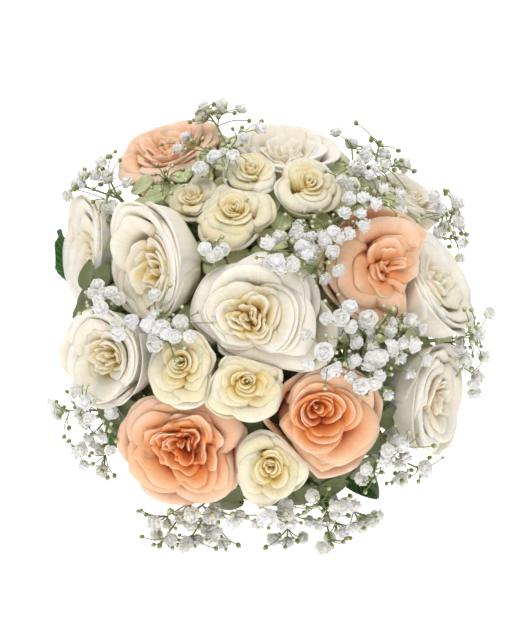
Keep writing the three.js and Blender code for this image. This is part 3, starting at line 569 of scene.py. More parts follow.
def bloom_reach(bloom, direction):
    """The form's reach, cut back where a wall is nearer."""
    along = direction @ bloom["normals"].T
    walls = np.where(along > 1e-6, bloom["rooms"] / np.maximum(along, 1e-6), np.inf)
    return np.minimum(form_reach(bloom, direction), walls.min(-1))


blooms = [place_bloom(row) for row in BLOOMS]
set_walls(blooms)


def pushed_clear(places, radius):
    """Pushes places straight away from the middles of the blooms that they are too near to."""
    clear = np.array(places, float)
    for _ in range(PUSH_ROUNDS):
        for bloom in blooms:
            away = clear - bloom["centre"]
            distance = np.linalg.norm(away, axis=-1, keepdims=True)
            away = away / distance
            short = bloom_reach(bloom, away)[..., None] + radius + STEM_GAP - distance
            clear = clear + away * np.maximum(0, short)
    return clear


def inside_bloom(places, radius):
    """Which places are nearer to a bloom than the radius."""
    inside = np.zeros(places.shape[:-1], bool)
    for bloom in blooms:
        away = places - bloom["centre"]
        distance = np.linalg.norm(away, axis=-1)
        inside |= distance < bloom_reach(bloom, away / distance[..., None]) + radius
    return inside


# The courses of the stems

def first_stems():
    """Every stem: where it leaves its flower, in which direction, and its radius."""
    starts, leaves, radii = [], [], []
    for bloom in blooms:
        starts.append(bloom["foot"] - bloom["facing"] * CALYX_DEPTH)
        leaves.append(-bloom["facing"])
        radii.append(SMALL_STEM if bloom["name"].startswith("spray") else LARGE_STEM)
    for rows, radius in ((SPRIGS, SPRIG_STEM), (LEAVES, LEAF_STEM)):
        for row in rows:
            start = pushed_clear(seen(*row[0]), radius)
            starts.append(start)
            leaves.append(unit(np.array([-start[0], -start[1], BINDING_Z - start[2]])))
            radii.append(radius)
    return np.array(starts), np.array(leaves), np.array(radii)


def pack_handle(starts, radii):
    """The stems' places in the handle: drawn to the middle and pushed off those that they touch."""
    slots = starts[:, :2] * SLOT_SHARE
    for step in range(PACK_ROUNDS):
        drawn = PACK_PULL if step < PACK_ROUNDS / 2 else 0
        away = slots[:, None] - slots[None]
        distance = np.linalg.norm(away, axis=-1)
        short = radii[:, None] + radii[None] + FIT_GAP - distance
        np.fill_diagonal(short, 0)
        push = np.where(short > 0, PACK_PUSH * short / np.maximum(distance, 1e-9), 0)
        slots = slots - drawn * slots + (away * push[..., None]).sum(1)
    return slots


def bend_stems(starts, leaves, radii, slots):
    """Cubic curves to the binding, then rounds in which each point is pushed off what is too near and
    drawn towards the middle of its neighbours on the stem."""
    ends = np.column_stack([slots, np.full(len(slots), BINDING_Z)])
    t = np.linspace(0, 1, STEM_POINTS)[:, None]
    one, two = starts + leaves * STEM_REACH_TOP, ends + [0, 0, STEM_REACH_BINDING]
    weights = ((1 - t) ** 3, 3 * t * (1 - t) ** 2, 3 * t * t * (1 - t), t ** 3)
    points = sum(w * p[:, None] for w, p in zip(weights, (starts, one, two, ends)))
    count = len(starts)
    owner = np.repeat(np.arange(count), STEM_POINTS)
    radius = radii[owner]
    for _ in range(BEND_ROUNDS):
        flat = points.reshape(-1, 3)
        moves = np.zeros_like(flat)
        squares = (flat ** 2).sum(1)
        gaps = squares[:, None] + squares[None] - 2 * flat @ flat.T
        room = radius[:, None] + radius[None] + STEM_GAP
        near = (gaps < room ** 2) & (owner[:, None] != owner[None])
        i, j = np.nonzero(near)
        away = flat[i] - flat[j]
        distance = np.linalg.norm(away, axis=1)
        push = BEND_PUSH * np.maximum(0, room[i, j] - distance) / distance
        np.add.at(moves, i, away * push[:, None])
        for b, bloom in enumerate(blooms):
            away = flat - bloom["centre"]
            distance = np.linalg.norm(away, axis=1)
            away = away / distance[:, None]
            short = bloom_reach(bloom, away) + radius + STEM_GAP - distance
            short[b * STEM_POINTS:b * STEM_POINTS + OWN_POINTS] = 0
            moves += away * (BLOOM_PUSH * np.maximum(0, short))[:, None]
        moves = moves.reshape(points.shape)
        moves[:, 1:-1] += BEND_SMOOTH * ((points[:, :-2] + points[:, 2:]) / 2 - points[:, 1:-1])
        points[:, FREE_END:-FREE_END] += moves[:, FREE_END:-FREE_END]
    return points


starts, leaves, radii = first_stems()
slots = pack_handle(starts, radii)
courses = bend_stems(starts, leaves, radii, slots)
BUNDLE_RADIUS = float((np.linalg.norm(slots, axis=1) + radii).max()) + FIT_GAP
TABLE_NORMAL = TO_ROW[2]
TABLE_DROP = -ROW_SHIFT[2]


# Meshes

def grid_quads(rows, cols, around=False):
    """The quads of a grid of points, row by row; around joins the last column to the first."""
    i, j = np.meshgrid(np.arange(rows - 1), np.arange(cols if around else cols - 1), indexing="ij")
    k = (j + 1) % cols
    return np.stack([i * cols + j, i * cols + k, (i + 1) * cols + k, (i + 1) * cols + j], -1).reshape(-1, 4)


def surface_normals(points):
    """Unit normals of grids (..., rows, cols, 3): the cross product of the steps along both."""
    along_rows = np.gradient(points, axis=-3)
    along_cols = np.gradient(points, axis=-2)
    normals = np.cross(along_cols, along_rows)
    return normals / np.maximum(np.linalg.norm(normals, axis=-1, keepdims=True), 1e-9)


def sheet_skin(points, thick, outer=None):
    """Closed thin sheets: grids (n, rows, cols, 3) moved out along their normals by half their
    thickness, or by outer, and in by the rest of it, with the borders stitched. Returns points and
    quads."""
    count, rows, cols = points.shape[:3]
    normals = surface_normals(points)
    whole = np.asarray(thick)[..., None] * np.ones(points.shape[:3] + (1,))
    out = whole / 2 if outer is None else np.full_like(whole, outer)
    both = np.stack([points + normals * out, points - normals * (whole - out)], 1)
    size = rows * cols
    face = grid_quads(rows, cols)
    edge = np.concatenate([np.arange(cols), np.arange(1, rows) * cols + cols - 1,
                           (rows - 1) * cols + np.arange(cols - 2, -1, -1),
                           np.arange(rows - 2, 0, -1) * cols])
    after = np.roll(edge, -1)
    rim = np.stack([edge, edge + size, after + size, after], -1)
    quads = np.concatenate([face, face[:, ::-1] + size, rim])
    offsets = (np.arange(count) * 2 * size)[:, None, None]
    return both.reshape(-1, 3), (quads[None] + offsets).reshape(-1, 4)


def both_faces(values):
    """What the points of grids (n, rows, cols, k) have, given to both faces of their sheets."""
    return np.repeat(values[:, None], 2, 1).reshape(-1, values.shape[-1])


def make_piece(name, points, quads, uv, tone, finishes, finish_of, node):
    """A smooth mesh object from whole arrays, riding on the root body in place of a CAD node."""
    mesh = bpy.data.meshes.new(name)
    mesh.vertices.add(len(points))
    mesh.vertices.foreach_set("co", to_row(points).astype(np.float32).ravel())
    mesh.loops.add(quads.size)
    mesh.loops.foreach_set("vertex_index", quads.astype(np.int32).ravel())
    mesh.polygons.add(len(quads))
    mesh.polygons.foreach_set("loop_start", np.arange(0, quads.size, 4, dtype=np.int32))
    mesh.polygons.foreach_set("use_smooth", np.ones(len(quads), bool))
    for finish in finishes:
        mesh.materials.append(finish)
    mesh.polygons.foreach_set("material_index", np.asarray(finish_of, np.int32))
    mesh.update(calc_edges=True)
    layer = mesh.uv_layers.new(name="UVMap")
    layer.data.foreach_set("uv", uv[quads.ravel()].astype(np.float32).ravel())
    colour = mesh.attributes.new("tone", "FLOAT_COLOR", "POINT")
    colour.data.foreach_set("color", tone.astype(np.float32).ravel())
    piece = bpy.data.objects.new(name, mesh)
    bpy.context.scene.collection.objects.link(piece)
    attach(piece, "root")
    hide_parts(node)
    return piece


class Parts:
    """Gathers the shapes of one piece before its mesh is made."""

    def __init__(self):
        self.points, self.quads, self.uv = [], [], []
        self.tone, self.finish = [], []
        self.count = 0

    def add(self, points, quads, uv, tone=PLAIN, finish=0):
        """Adds points (n, 3), quads, uv (n, 2) and tone, one or (n, 4), with one finish's number."""
        points = points.reshape(-1, 3)
        tone = np.asarray(tone, float).reshape(-1, 4)
        self.points.append(points)
        self.quads.append(quads + self.count)
        self.uv.append(uv.reshape(-1, 2))
        self.tone.append(np.broadcast_to(tone, (len(points), 4)))
        self.finish.append(np.full(len(quads), finish))
        self.count += len(points)

    def piece(self, name, finishes, node, slot):
        """Makes the mesh object of all that was added."""
        points, quads, uv, tone, finish = (
            np.concatenate(parts) for parts in (self.points, self.quads, self.uv, self.tone, self.finish))
        return make_piece(name, points, quads, uv, tone, finishes, finish, node)


def smooth_path(points, steps):
    """A Catmull-Rom curve through the points, with so many steps between two of them."""
    p = np.vstack([2 * points[0] - points[1], points, 2 * points[-1] - points[-2]])
    t = np.linspace(0, 1, steps, endpoint=False)[None, :, None]
    a, b, c, d = (p[k:len(p) - 3 + k, None] for k in range(4))
    curve = 0.5 * (2 * b + (c - a) * t + (2 * a - 5 * b + 4 * c - d) * t ** 2
                   + (3 * b - a - 3 * c + d) * t ** 3)
    return np.vstack([curve.reshape(-1, 3), points[-1:]])


def bent_path(*corners):
    """A smooth course through a few places."""
    return smooth_path(np.array(corners), 4)


def path_length(path):
    """How far along a path each of its points lies."""
    return np.concatenate([[0], np.cumsum(np.linalg.norm(np.diff(path, axis=0), axis=1))])


def path_frames(path):
    """Two directions across a path at each of its points, carried along it without twist."""
    along = unit(np.gradient(path, axis=0))
    first = np.cross(along[0], [0.31, 0.52, 0.79])
    across = [first / np.linalg.norm(first)]
    for k in range(1, len(path)):
        turned = across[-1] - along[k] * (across[-1] @ along[k])
        across.append(turned / np.linalg.norm(turned))
    across = np.array(across)
    return across, np.cross(along, across)


def tube(path, radius, sides):
    """A round tube along a path, drawn in at each end: centre + radius times the cosine and sine of
    the angle round it. Radius may differ from point to point."""
    radius = np.broadcast_to(radius, (len(path),))
    one, two = path_frames(path)
    angle = np.linspace(0, 2 * math.pi, sides, endpoint=False)
    ring = one[:, None] * np.cos(angle)[:, None] + two[:, None] * np.sin(angle)[:, None]
    body = path[:, None] + ring * radius[:, None, None]
    start = path[0] + ring[0] * radius[0] * END_SHARE
    end = path[-1] + ring[-1] * radius[-1] * END_SHARE
    points = np.concatenate([start[None], body, end[None]])
    length = path_length(path)
    length = np.concatenate([length[:1], length, length[-1:]])
    uv = np.stack(np.broadcast_arrays(angle[None] / (2 * math.pi), length[:, None] / 10), -1)
    tone = np.zeros(points.shape[:2] + (4,))
    tone[..., 3] = 1
    return points, grid_quads(len(points), sides, around=True), uv, tone


# Finishes

def linear(code):
    """An sRGB hex colour as linear values."""
    value = np.array([int(code[k:k + 2], 16) for k in (1, 3, 5)]) / 255
    line = np.where(value <= 0.04045, value / 12.92, ((value + 0.055) / 1.055) ** 2.4)
    return (*line, 1.0)


def node(tree, kind, inputs=None, stops=(), **settings):
    """Adds a node with its settings, and returns its outputs. inputs gives sockets, by name or number,
    their values: a link from another node's output, or a constant. stops are a colour ramp's, each a
    place and a hex colour."""
    made = tree.nodes.new(kind)
    for name, value in settings.items():
        setattr(made, name, value)
    for socket, value in (inputs or {}).items():
        if isinstance(value, bpy.types.NodeSocket):
            tree.links.new(value, made.inputs[socket])
        else:
            made.inputs[socket].default_value = value
    if stops:
        elements = made.color_ramp.elements
        while len(elements) < len(stops):
            elements.new(0.5)
        for element, (place, code) in zip(elements, stops):
            element.position = place
            element.color = linear(code)
    return made.outputs


def new_finish(name, **settings):
    """A material, its node tree, its Principled shader and its texture coordinates."""
    material = bpy.data.materials.new(name)
    material.use_nodes = True
    tree = material.node_tree
    shader = tree.nodes["Principled BSDF"]
    for key, value in settings.items():
        shader.inputs[key.replace("_", " ")].default_value = value
    return material, tree, shader, node(tree, "ShaderNodeTexCoord")


def tone_parts(tree):
    """The red, green and blue of the points' tone."""
    tone = node(tree, "ShaderNodeAttribute", attribute_name="tone")["Color"]
    return node(tree, "ShaderNodeSeparateColor", {"Color": tone})


def set_surface(tree, shader, colour, height, strength, distance, invert=False):
    """Gives a shader its colour, and a bump by a height whose whole step is a distance in metres."""
    relief = {"Height": height, "Strength": strength, "Distance": distance}
    bump = node(tree, "ShaderNodeBump", relief, invert=invert)
    tree.links.new(colour, shader.inputs["Base Color"])
    tree.links.new(bump["Normal"], shader.inputs["Normal"])


def petal_finish(name, flush, green, stops):
    """Rose petal: a velvety skin with almost no gloss, lighter at the rim and deeper in the folds, with fine
    veins that run from its foot to its rim, the widest about 2 mm apart. The deeper colour of the folds is
    partly the rose's own and partly painted shade. tone holds the depth in the flower, which sets that
    colour, the green of a guard petal, and a share of its own."""
    material, tree, shader, place = new_finish(
        name, Roughness=0.62, Specular_IOR_Level=0.25, Sheen_Weight=0.12, Sheen_Roughness=0.6,
        Subsurface_Weight=0.4, Subsurface_Scale=0.0015, Subsurface_Radius=(1.0, 0.68, 0.4))
    tone = tone_parts(tree)
    patch = node(tree, "ShaderNodeTexNoise",
                 {"Vector": place["Object"], "Scale": PETAL_PATCHES, "Detail": 3.0})["Fac"]
    shift = node(tree, "ShaderNodeMath", {0: patch, 1: 0.16, 2: -0.08}, operation="MULTIPLY_ADD")["Value"]
    depth = node(tree, "ShaderNodeMath", {0: tone["Red"], 1: shift}, operation="ADD")["Value"]
    # The ramp darkens and warms the colour down into the folds: partly the petal's own colour, partly
    # painted shade.
    base = node(tree, "ShaderNodeValToRGB", {"Fac": depth}, stops)["Color"]
    tinted = node(tree, "ShaderNodeMix",
                  {FACTOR: tone["Green"], FIRST: base, SECOND: linear(green)},
                  data_type="RGBA")[MIXED]
    flushed = node(tree, "ShaderNodeMix",
                   {FACTOR: tone["Blue"], FIRST: tinted, SECOND: linear(flush)},
                   data_type="RGBA", blend_type="MULTIPLY")[MIXED]
    across = node(tree, "ShaderNodeMapping", {"Vector": place["UV"], "Scale": PETAL_VEINS})["Vector"]
    vein = node(tree, "ShaderNodeTexNoise",
                {"Vector": across, "Scale": 1.0, "Detail": 4.0, "Roughness": 0.6})["Fac"]
    veins = node(tree, "ShaderNodeValToRGB", {"Fac": vein}, [(0.3, "#F6F3EE"), (0.7, "#FFFFFF")])["Color"]
    skin = node(tree, "ShaderNodeMix", {FACTOR: 1.0, FIRST: flushed, SECOND: veins},
                data_type="RGBA", blend_type="MULTIPLY")[MIXED]
    set_surface(tree, shader, skin, vein, 0.14, 0.0006)
    return material


# Stops from the rim into the folds: the later, darker and warmer stops are partly each rose's own heart and
# partly painted shade in the folds.
WHITE = petal_finish("white_rose_petal", "#FAF7EE", "#D9DCC0", [
    (0.0, "#F3EFE9"), (0.2, "#EEE7D6"), (0.5, "#E6D3A0"), (0.75, "#DDBD74"), (1.0, "#CB9C50")])
PEACH = petal_finish("peach_rose_petal", "#FFF2E0", "#D8CB9C", [
    (0.0, "#F5DAC6"), (0.12, "#F0BF9A"), (0.36, "#E89A5C"), (0.65, "#DA7530"), (1.0, "#BA5014")])
CREAM = petal_finish("cream_rose_petal", "#FBF6E2", "#C5C78F", [
    (0.0, "#EFEADC"), (0.2, "#EAE0C2"), (0.5, "#E3D096"), (0.75, "#D6B768"), (1.0, "#C0944A")])


def green_finish(name, dark, light, scale, roughness):
    """Fresh green bark: matt and a little uneven, streaked along the stem, pale where it is cut. tone's
    red is the cut."""
    material, tree, shader, place = new_finish(name, Roughness=roughness, Specular_IOR_Level=0.35)
    along = node(tree, "ShaderNodeMapping", {"Vector": place["UV"], "Scale": STEM_STREAKS})["Vector"]
    streak = node(tree, "ShaderNodeTexNoise", {"Vector": along, "Scale": scale, "Detail": 4.0})["Fac"]
    bark = node(tree, "ShaderNodeValToRGB", {"Fac": streak}, [(0.25, dark), (0.75, light)])["Color"]
    colour = node(tree, "ShaderNodeMix",
                  {FACTOR: tone_parts(tree)["Red"], FIRST: bark, SECOND: linear("#C9CF9C")},
                  data_type="RGBA")[MIXED]
    set_surface(tree, shader, colour, streak, 0.4, 0.0003)
    return material


STEM = green_finish("rose_stem", "#55702F", "#7E9350", 1.0, 0.5)
TWIG = green_finish("gypsophila_twig", "#6C7B45", "#8E9A62", 1.5, 0.6)


def floret_finish():
    """Gypsophila petals: thin, matt and milky white, a little lilac in the shade. tone's red runs from
    the rim to the green heart, and its blue is the floret's own shade."""
    material, tree, shader, place = new_finish(
        "gypsophila_floret", Roughness=0.75, Specular_IOR_Level=0.15,
        Subsurface_Weight=0.4, Subsurface_Scale=0.0015, Subsurface_Radius=(1.0, 0.95, 0.85))
    tone = tone_parts(tree)
    stops = [(0.0, "#F8F7F7"), (0.4, "#F1F0EC"), (0.7, "#C6C9A6"), (1.0, "#8C9361")]
    white = node(tree, "ShaderNodeValToRGB", {"Fac": tone["Red"]}, stops)["Color"]
    shade = node(tree, "ShaderNodeMix",
                 {FACTOR: tone["Blue"], FIRST: white, SECOND: linear("#EFEDE4")},
                 data_type="RGBA", blend_type="MULTIPLY")[MIXED]
    grain = node(tree, "ShaderNodeTexNoise",
                 {"Vector": place["Object"], "Scale": FLORET_GRAIN, "Detail": 2.0})["Fac"]
    set_surface(tree, shader, shade, grain, 0.6, 0.0005)
    return material


FLORET = floret_finish()


def leaf_finish(name, dark, light, rib_colour):
    """Leaf: green with a waxy skin, a pale midrib and side veins about 4 mm apart. UV runs across and along
    the blade, and tone's red is how far a leaf is darkened to olive."""
    material, tree, shader, place = new_finish(name, Roughness=0.38, Specular_IOR_Level=0.5)
    uv = node(tree, "ShaderNodeSeparateXYZ", {"Vector": place["UV"]})
    side = node(tree, "ShaderNodeMath", {0: uv["X"]}, operation="ABSOLUTE")["Value"]
    slant = node(tree, "ShaderNodeMath", {0: side, 1: -0.35, 2: uv["Y"]}, operation="MULTIPLY_ADD")["Value"]
    phase = node(tree, "ShaderNodeMath", {0: slant, 1: LEAF_VEINS}, operation="MULTIPLY")["Value"]
    vein = node(tree, "ShaderNodeMath", {0: phase}, operation="SINE")["Value"]
    sharp = node(tree, "ShaderNodeMapRange", {"Value": vein, "From Min": 0.8})["Result"]
    rib = node(tree, "ShaderNodeMapRange", {"Value": side, "From Min": 0.07, "From Max": 0.02})["Result"]
    lines = node(tree, "ShaderNodeMath", {0: sharp, 1: rib}, operation="MAXIMUM")["Value"]
    patch = node(tree, "ShaderNodeTexNoise",
                 {"Vector": place["Object"], "Scale": LEAF_PATCHES, "Detail": 3.0})["Fac"]
    body = node(tree, "ShaderNodeValToRGB", {"Fac": patch}, [(0.3, dark), (0.7, light)])["Color"]
    ribbed = node(tree, "ShaderNodeMix", {FACTOR: lines, FIRST: body, SECOND: linear(rib_colour)},
                  data_type="RGBA")[MIXED]
    # Mixes the blade towards dark olive by tone's red, which is set by the leaf's place on the head.
    olive_darkened = node(tree, "ShaderNodeMix",
                {FACTOR: tone_parts(tree)["Red"], FIRST: ribbed, SECOND: linear("#4F5A2C")},
                data_type="RGBA")[MIXED]
    set_surface(tree, shader, olive_darkened, lines, 0.5, 0.0005, invert=True)
    return material


LEAF = leaf_finish("dark_leaf", "#1F4518", "#35622B", "#5F8A4A")
YOUNG_LEAF = leaf_finish("young_leaf", "#B1B780", "#CFD3A2", "#DADDB4")


def satin_finish():
    """Satin ribbon: a close weave, its threads under 0.1 mm apart, with a soft sheen across it."""
    material, tree, shader, place = new_finish(
        "satin_ribbon", Roughness=0.34, Specular_IOR_Level=0.5, Sheen_Weight=0.3, Anisotropic=0.5)
    weave = node(tree, "ShaderNodeTexWave",
                 {"Vector": place["UV"], "Scale": SATIN_THREADS, "Distortion": 0.4, "Detail": 2.0})["Fac"]
    patch = node(tree, "ShaderNodeTexNoise",
                 {"Vector": place["Object"], "Scale": SATIN_PATCHES, "Detail": 2.0})["Fac"]
    colour = node(tree, "ShaderNodeValToRGB", {"Fac": patch}, [(0.3, "#EDE4D4"), (0.7, "#F6F0E4")])["Color"]
    set_surface(tree, shader, colour, weave, 0.2, 0.0002)
    return material


SATIN = satin_finish()


def tape_finish():
    """Florist's tape: waxed crepe paper, matt, with creases about 2 mm apart."""
    material, tree, shader, place = new_finish("florist_tape", Roughness=0.7)
    crease = node(tree, "ShaderNodeTexNoise",
                  {"Vector": place["Object"], "Scale": TAPE_CREASES, "Detail": 3.0})["Fac"]
    colour = node(tree, "ShaderNodeValToRGB", {"Fac": crease}, [(0.3, "#4C6A38"), (0.7, "#6C8852")])["Color"]
    set_surface(tree, shader, colour, crease, 0.5, 0.0003)
    return material


TAPE = tape_finish()


# Roses

def petal_list(bloom, seed):
    """The petals of a bloom as rows of numbers: angle, half angle, radius, height, lean, roll, ruffle,
    how unlike its neighbours it is, the room to the next layer, and a share of its own."""
    rows = []
    start = bloom["turn"]
    layers = STYLES[bloom["style"]]
    inner = [layer[0] for layer in layers[1:]] + [0]
    for k, (radius, height, count, half, lean, roll, ruffle, rough) in enumerate(layers):
        start += GOLDEN_ANGLE
        swing = [least + more * rough for least, more in PETAL_CHANCES]
        for n in range(count):
            share = scatter(seed * 100 + k * 10 + n + np.arange(8) * 0.13)
            angle = start + 2 * math.pi * (n + swing[0] * (share[0] - 0.5)) / count
            rows.append((
                angle,
                math.radians(half) * (1 + swing[1] * (share[1] - 0.5)),
                radius * (1 - swing[2] * share[2]),
                height - swing[3] * share[3],
                math.radians(lean) * (1 + swing[4] * (share[4] - 0.5)),
                roll * (CURL_LEAST + CURL_SPREAD * share[5]),
                ruffle * (CURL_LEAST + CURL_SPREAD * share[6]),
                rough,
                radius - inner[k],
                share[7],
            ))
    return np.array(rows)


def petal_outline(numbers, u, v):
    """How far up a petal each point lies, w = v (1 - 0.22 |u|^2.6) less a notch and drawn-in corners in
    some petals, and its angle round the bloom: a petal spreads until w = 0.6."""
    angle, half, rough, own = (numbers[k] for k in (0, 1, 7, 9))
    notch = 0.05 * np.exp(-((u + 0.5 * own - 0.25) / 0.16) ** 2) * (own > 0.45)
    corner = 0.05 * rough * np.abs(u)
    w = v * (1 - 0.22 * np.abs(u) ** 2.6 - notch - corner)
    width = 0.42 + 0.58 * np.sin(np.minimum(1, w / 0.6) * math.pi / 2)
    return w, angle + half * width * u


def petal_curve(numbers, u, w):
    """Radius and height of each point, as shares of the mouth's radius and of the depth: a cubic curve
    from the foot to the rim, which it reaches with the petal's lean. It is set askew, so that one side
    lies over its neighbour and the other under it, cupped by u squared, waved by sines of u towards
    its rim, and rolled out past w = 0.72."""
    _, half, radius, height, lean, roll, ruffle, rough, _, own = numbers
    arm = 0.42 * height
    belly = 0.55 + 0.38 * np.clip((radius - 0.7) / 0.25, 0, 1)
    course = [
        (0.03 + 0.08 * radius, 0.04),
        (belly * radius, 0.08),
        (radius - arm * np.sin(lean) * np.minimum(1, radius * 2.2), height - arm * np.cos(lean)),
        (radius, height),
    ]
    weights = ((1 - w) ** 3, 3 * w * (1 - w) ** 2, 3 * w * w * (1 - w), w ** 3)
    rho = sum(a * p[0] for a, p in zip(weights, course))
    zeta = sum(a * p[1] for a, p in zip(weights, course))
    askew = (0.06 + 0.12 * rough * (own - 0.3)) * u * np.minimum(1, radius * 3)
    cupped = (0.07 + 0.16 * rough * (own - 0.4)) * (half * u) ** 2 * np.minimum(1, radius * 2)
    sines = ((1, 3.6, 9), (0.5, 7.9, 23), (0.22, 17, 41))
    wave = sum(a * np.sin(u * b + own * c) for a, b, c in sines) * w ** 3
    curl = np.maximum(0, w - 0.72) / 0.28
    rho = rho * (1 + (askew - cupped) * np.minimum(1, w * 1.5)) + ruffle * wave + roll * curl ** 2
    zeta = zeta + 0.8 * ruffle * wave - roll * (curl ** 3) * (1 + 1.2 * rough * u ** 2)
    return rho, zeta


def fit_in_room(bloom, x, y, z):
    """Shares of a bloom's half width, height and depth to places in the bouquet's frame, with the reach
    of its guard petal, drawn in where a wall to the next bloom is nearer than its form."""
    local = np.stack([x * bloom["wide"], y * bloom["high"], z * bloom["half"]], -1)
    edge = np.clip((np.hypot(x, y) - 0.75) / 0.25, 0, 1)
    share = 1 + edge * guard_share(bloom, np.arctan2(local[..., 1], local[..., 0]))
    local[..., :2] *= share[..., None]
    reach = np.maximum(np.linalg.norm(local, axis=-1), 1e-9)
    world = local @ np.stack([bloom["right"], bloom["top"], bloom["facing"]])
    direction = world / reach[..., None]
    free, form = bloom_reach(bloom, direction), form_reach(bloom, direction)
    squeeze = np.minimum(np.maximum(free / form, 0.6), 1.05 * free / reach)
    return bloom["centre"] + world * np.minimum(1, squeeze)[..., None]


def petal_fold_tone_and_shade(bloom, radius, w):
    """How deep the colour is, from 0 at the rim: it grows down a petal, faster in the inner layers, and is
    less in the outer layers and at the foot. This deep colour is partly the rose's own cream or orange heart
    and partly painted shade where the petals fold in on each other."""
    inward = np.clip(1.05 - radius, 0, 1)
    fold = 1 - w
    # grown deepens the colour down into the folds: partly the rose's own heart, partly painted shade.
    grown = fold * (0.35 + 4.4 * inward) + 0.3 * inward ** 2 * np.clip(fold / 0.1, 0, 1)
    pale = 0.55 * np.clip((radius - 0.5) / 0.4, 0, 1) + 0.25 * (radius > 1)
    deep = np.clip(grown, 0, 1) * (1 - pale) * np.clip(w / 0.4, 0.15, 1)
    return np.clip(deep * FOLD_TONE_AND_SHADE.get(bloom["name"], 1.0), 0, 1)


def petal_thickness(bloom, radius, room, w):
    """How thick a petal is: thin at its rim, thicker to its foot, and below its rim thick enough to
    close the room to the next layer, except in the outermost layer."""
    closed = np.minimum(1.2 * room, 0.17) * np.clip((1 - w) / 0.18, 0, 1) ** 1.2
    return RIM_THICK + PACKED_THICK * closed * bloom["size"] * (radius < 1.0) + FOOT_THICK * (1 - w)


def petal_surfaces(bloom, petals, lowest, rows, cols):
    """Petals as grids over u across and v up: their places, u, w, the depth of their colour with its painted
    fold shade, their thickness, their own share and their radius. The inner ones are folded into the style's
    lobes, and drawn to where the bloom's eye lies."""
    v = np.linspace(lowest, 1, rows)[None, :, None]
    u = np.linspace(-1, 1, cols)[None, None, :]
    numbers = [petals[:, k, None, None] for k in range(petals.shape[1])]
    radius, room, own = (numbers[k] for k in (2, 8, 9))
    w, theta = petal_outline(numbers, u, v)
    rho, zeta = petal_curve(numbers, u, w)
    lobes, depth = FOLDS[bloom["style"]]
    lobe = 0.5 + 0.5 * np.cos(lobes * theta + bloom["turn"])
    rho = rho * (1 - depth * np.clip((0.86 - radius) / 0.5, 0, 1) * lobe * w)
    eye_x, eye_y = bloom["eye"]
    drawn = (1 - np.minimum(1, radius)) * np.minimum(1, 2 * w)
    x, y = rho * np.cos(theta) + eye_x * drawn, rho * np.sin(theta) + eye_y * drawn
    points = fit_in_room(bloom, x, y, (zeta - 0.5) * 2)
    deep, thick = petal_fold_tone_and_shade(bloom, radius, w), petal_thickness(bloom, radius, room, w)
    return points, u + 0 * w, w, deep, thick, own, radius


def build_rose(bloom, number, finish, slot):
    """One rose: its petals as closed sheets, thin at their rims and thick at their feet, where they
    are packed against each other."""
    less_rows, less_cols = SMALL_LESS if bloom["name"].startswith("spray") else (0, 0)
    tint = PEACH_TINT if finish is PEACH else GUARD_TINT
    petals = petal_list(bloom, number + 1)
    rose = Parts()
    most = math.inf
    for least, lowest, rows, cols in PETAL_GRIDS:
        chosen = petals[(petals[:, 2] > least) & (petals[:, 2] <= most)]
        most = least
        points, u, w, deep, thick, own, radius = petal_surfaces(
            bloom, chosen, lowest, rows - less_rows, cols - less_cols)
        verts, quads = sheet_skin(points, thick, OUTER_THICK)
        uv = np.stack([u * 0.5 + 0.5 + 3 * own, w], -1)
        green = np.clip((0.8 - w) * 1.2, 0, 1) * (radius > 0.9) * (own > 0.3)
        # tone's red is the depth of the colour: the rose's own deeper heart together with painted shade in
        # the folds.
        tone = np.stack([deep, tint * green, own + 0 * deep, np.ones_like(deep)], -1)
        rose.add(verts, quads, both_faces(uv), both_faces(tone))
    rose.piece(bloom["name"] + "_petals", [finish], bloom["name"], slot)


FINISH_OF = {
    "rose_white": (WHITE, "white_petal"),
    "rose_peach": (PEACH, "peach_petal"),
    "spray_rose": (CREAM, "cream_petal"),
}
for number, bloom in enumerate(blooms):
    build_rose(bloom, number, *FINISH_OF[bloom["name"].rsplit("_", 1)[0]])


# Stems of the roses

def lathe_rows(radius, height, sides):
    """Rings of points round the z axis with the given radii and heights."""
    angle = np.linspace(0, 2 * math.pi, sides, endpoint=False)
    radius, height = np.asarray(radius)[:, None], np.asarray(height)[:, None]
    return np.stack([radius * np.cos(angle), radius * np.sin(angle), height + 0 * angle], -1)


def in_bloom(bloom, local):
    """From the frame of a bloom's foot to the bouquet's frame."""
    return bloom["foot"] + local @ np.stack([bloom["right"], bloom["top"], bloom["facing"]])


def stem_path(k):
    """A stem's course, drawn on straight down the handle to its cut end."""
    slot = slots[k]
    down = [[slot[0], slot[1], z] for z in np.linspace(BINDING_Z, CUT_Z, 9)[1:]]
    return np.vstack([courses[k], down])


def stem_tube(k, sides):
    """A stem that a knot swells every 120 mm, its radius times 0.96 + 0.06 sin^8 of its length, with a
    pale cut end."""
    path = smooth_path(stem_path(k)[::2], 3)
    radius = radii[k] * (0.96 + 0.06 * np.sin(path_length(path) / 38 + k * 1.7) ** 8)
    points, quads, uv, tone = tube(path, radius, sides)
    tone[-1, :, 0] = 1
    return points, quads, uv, tone


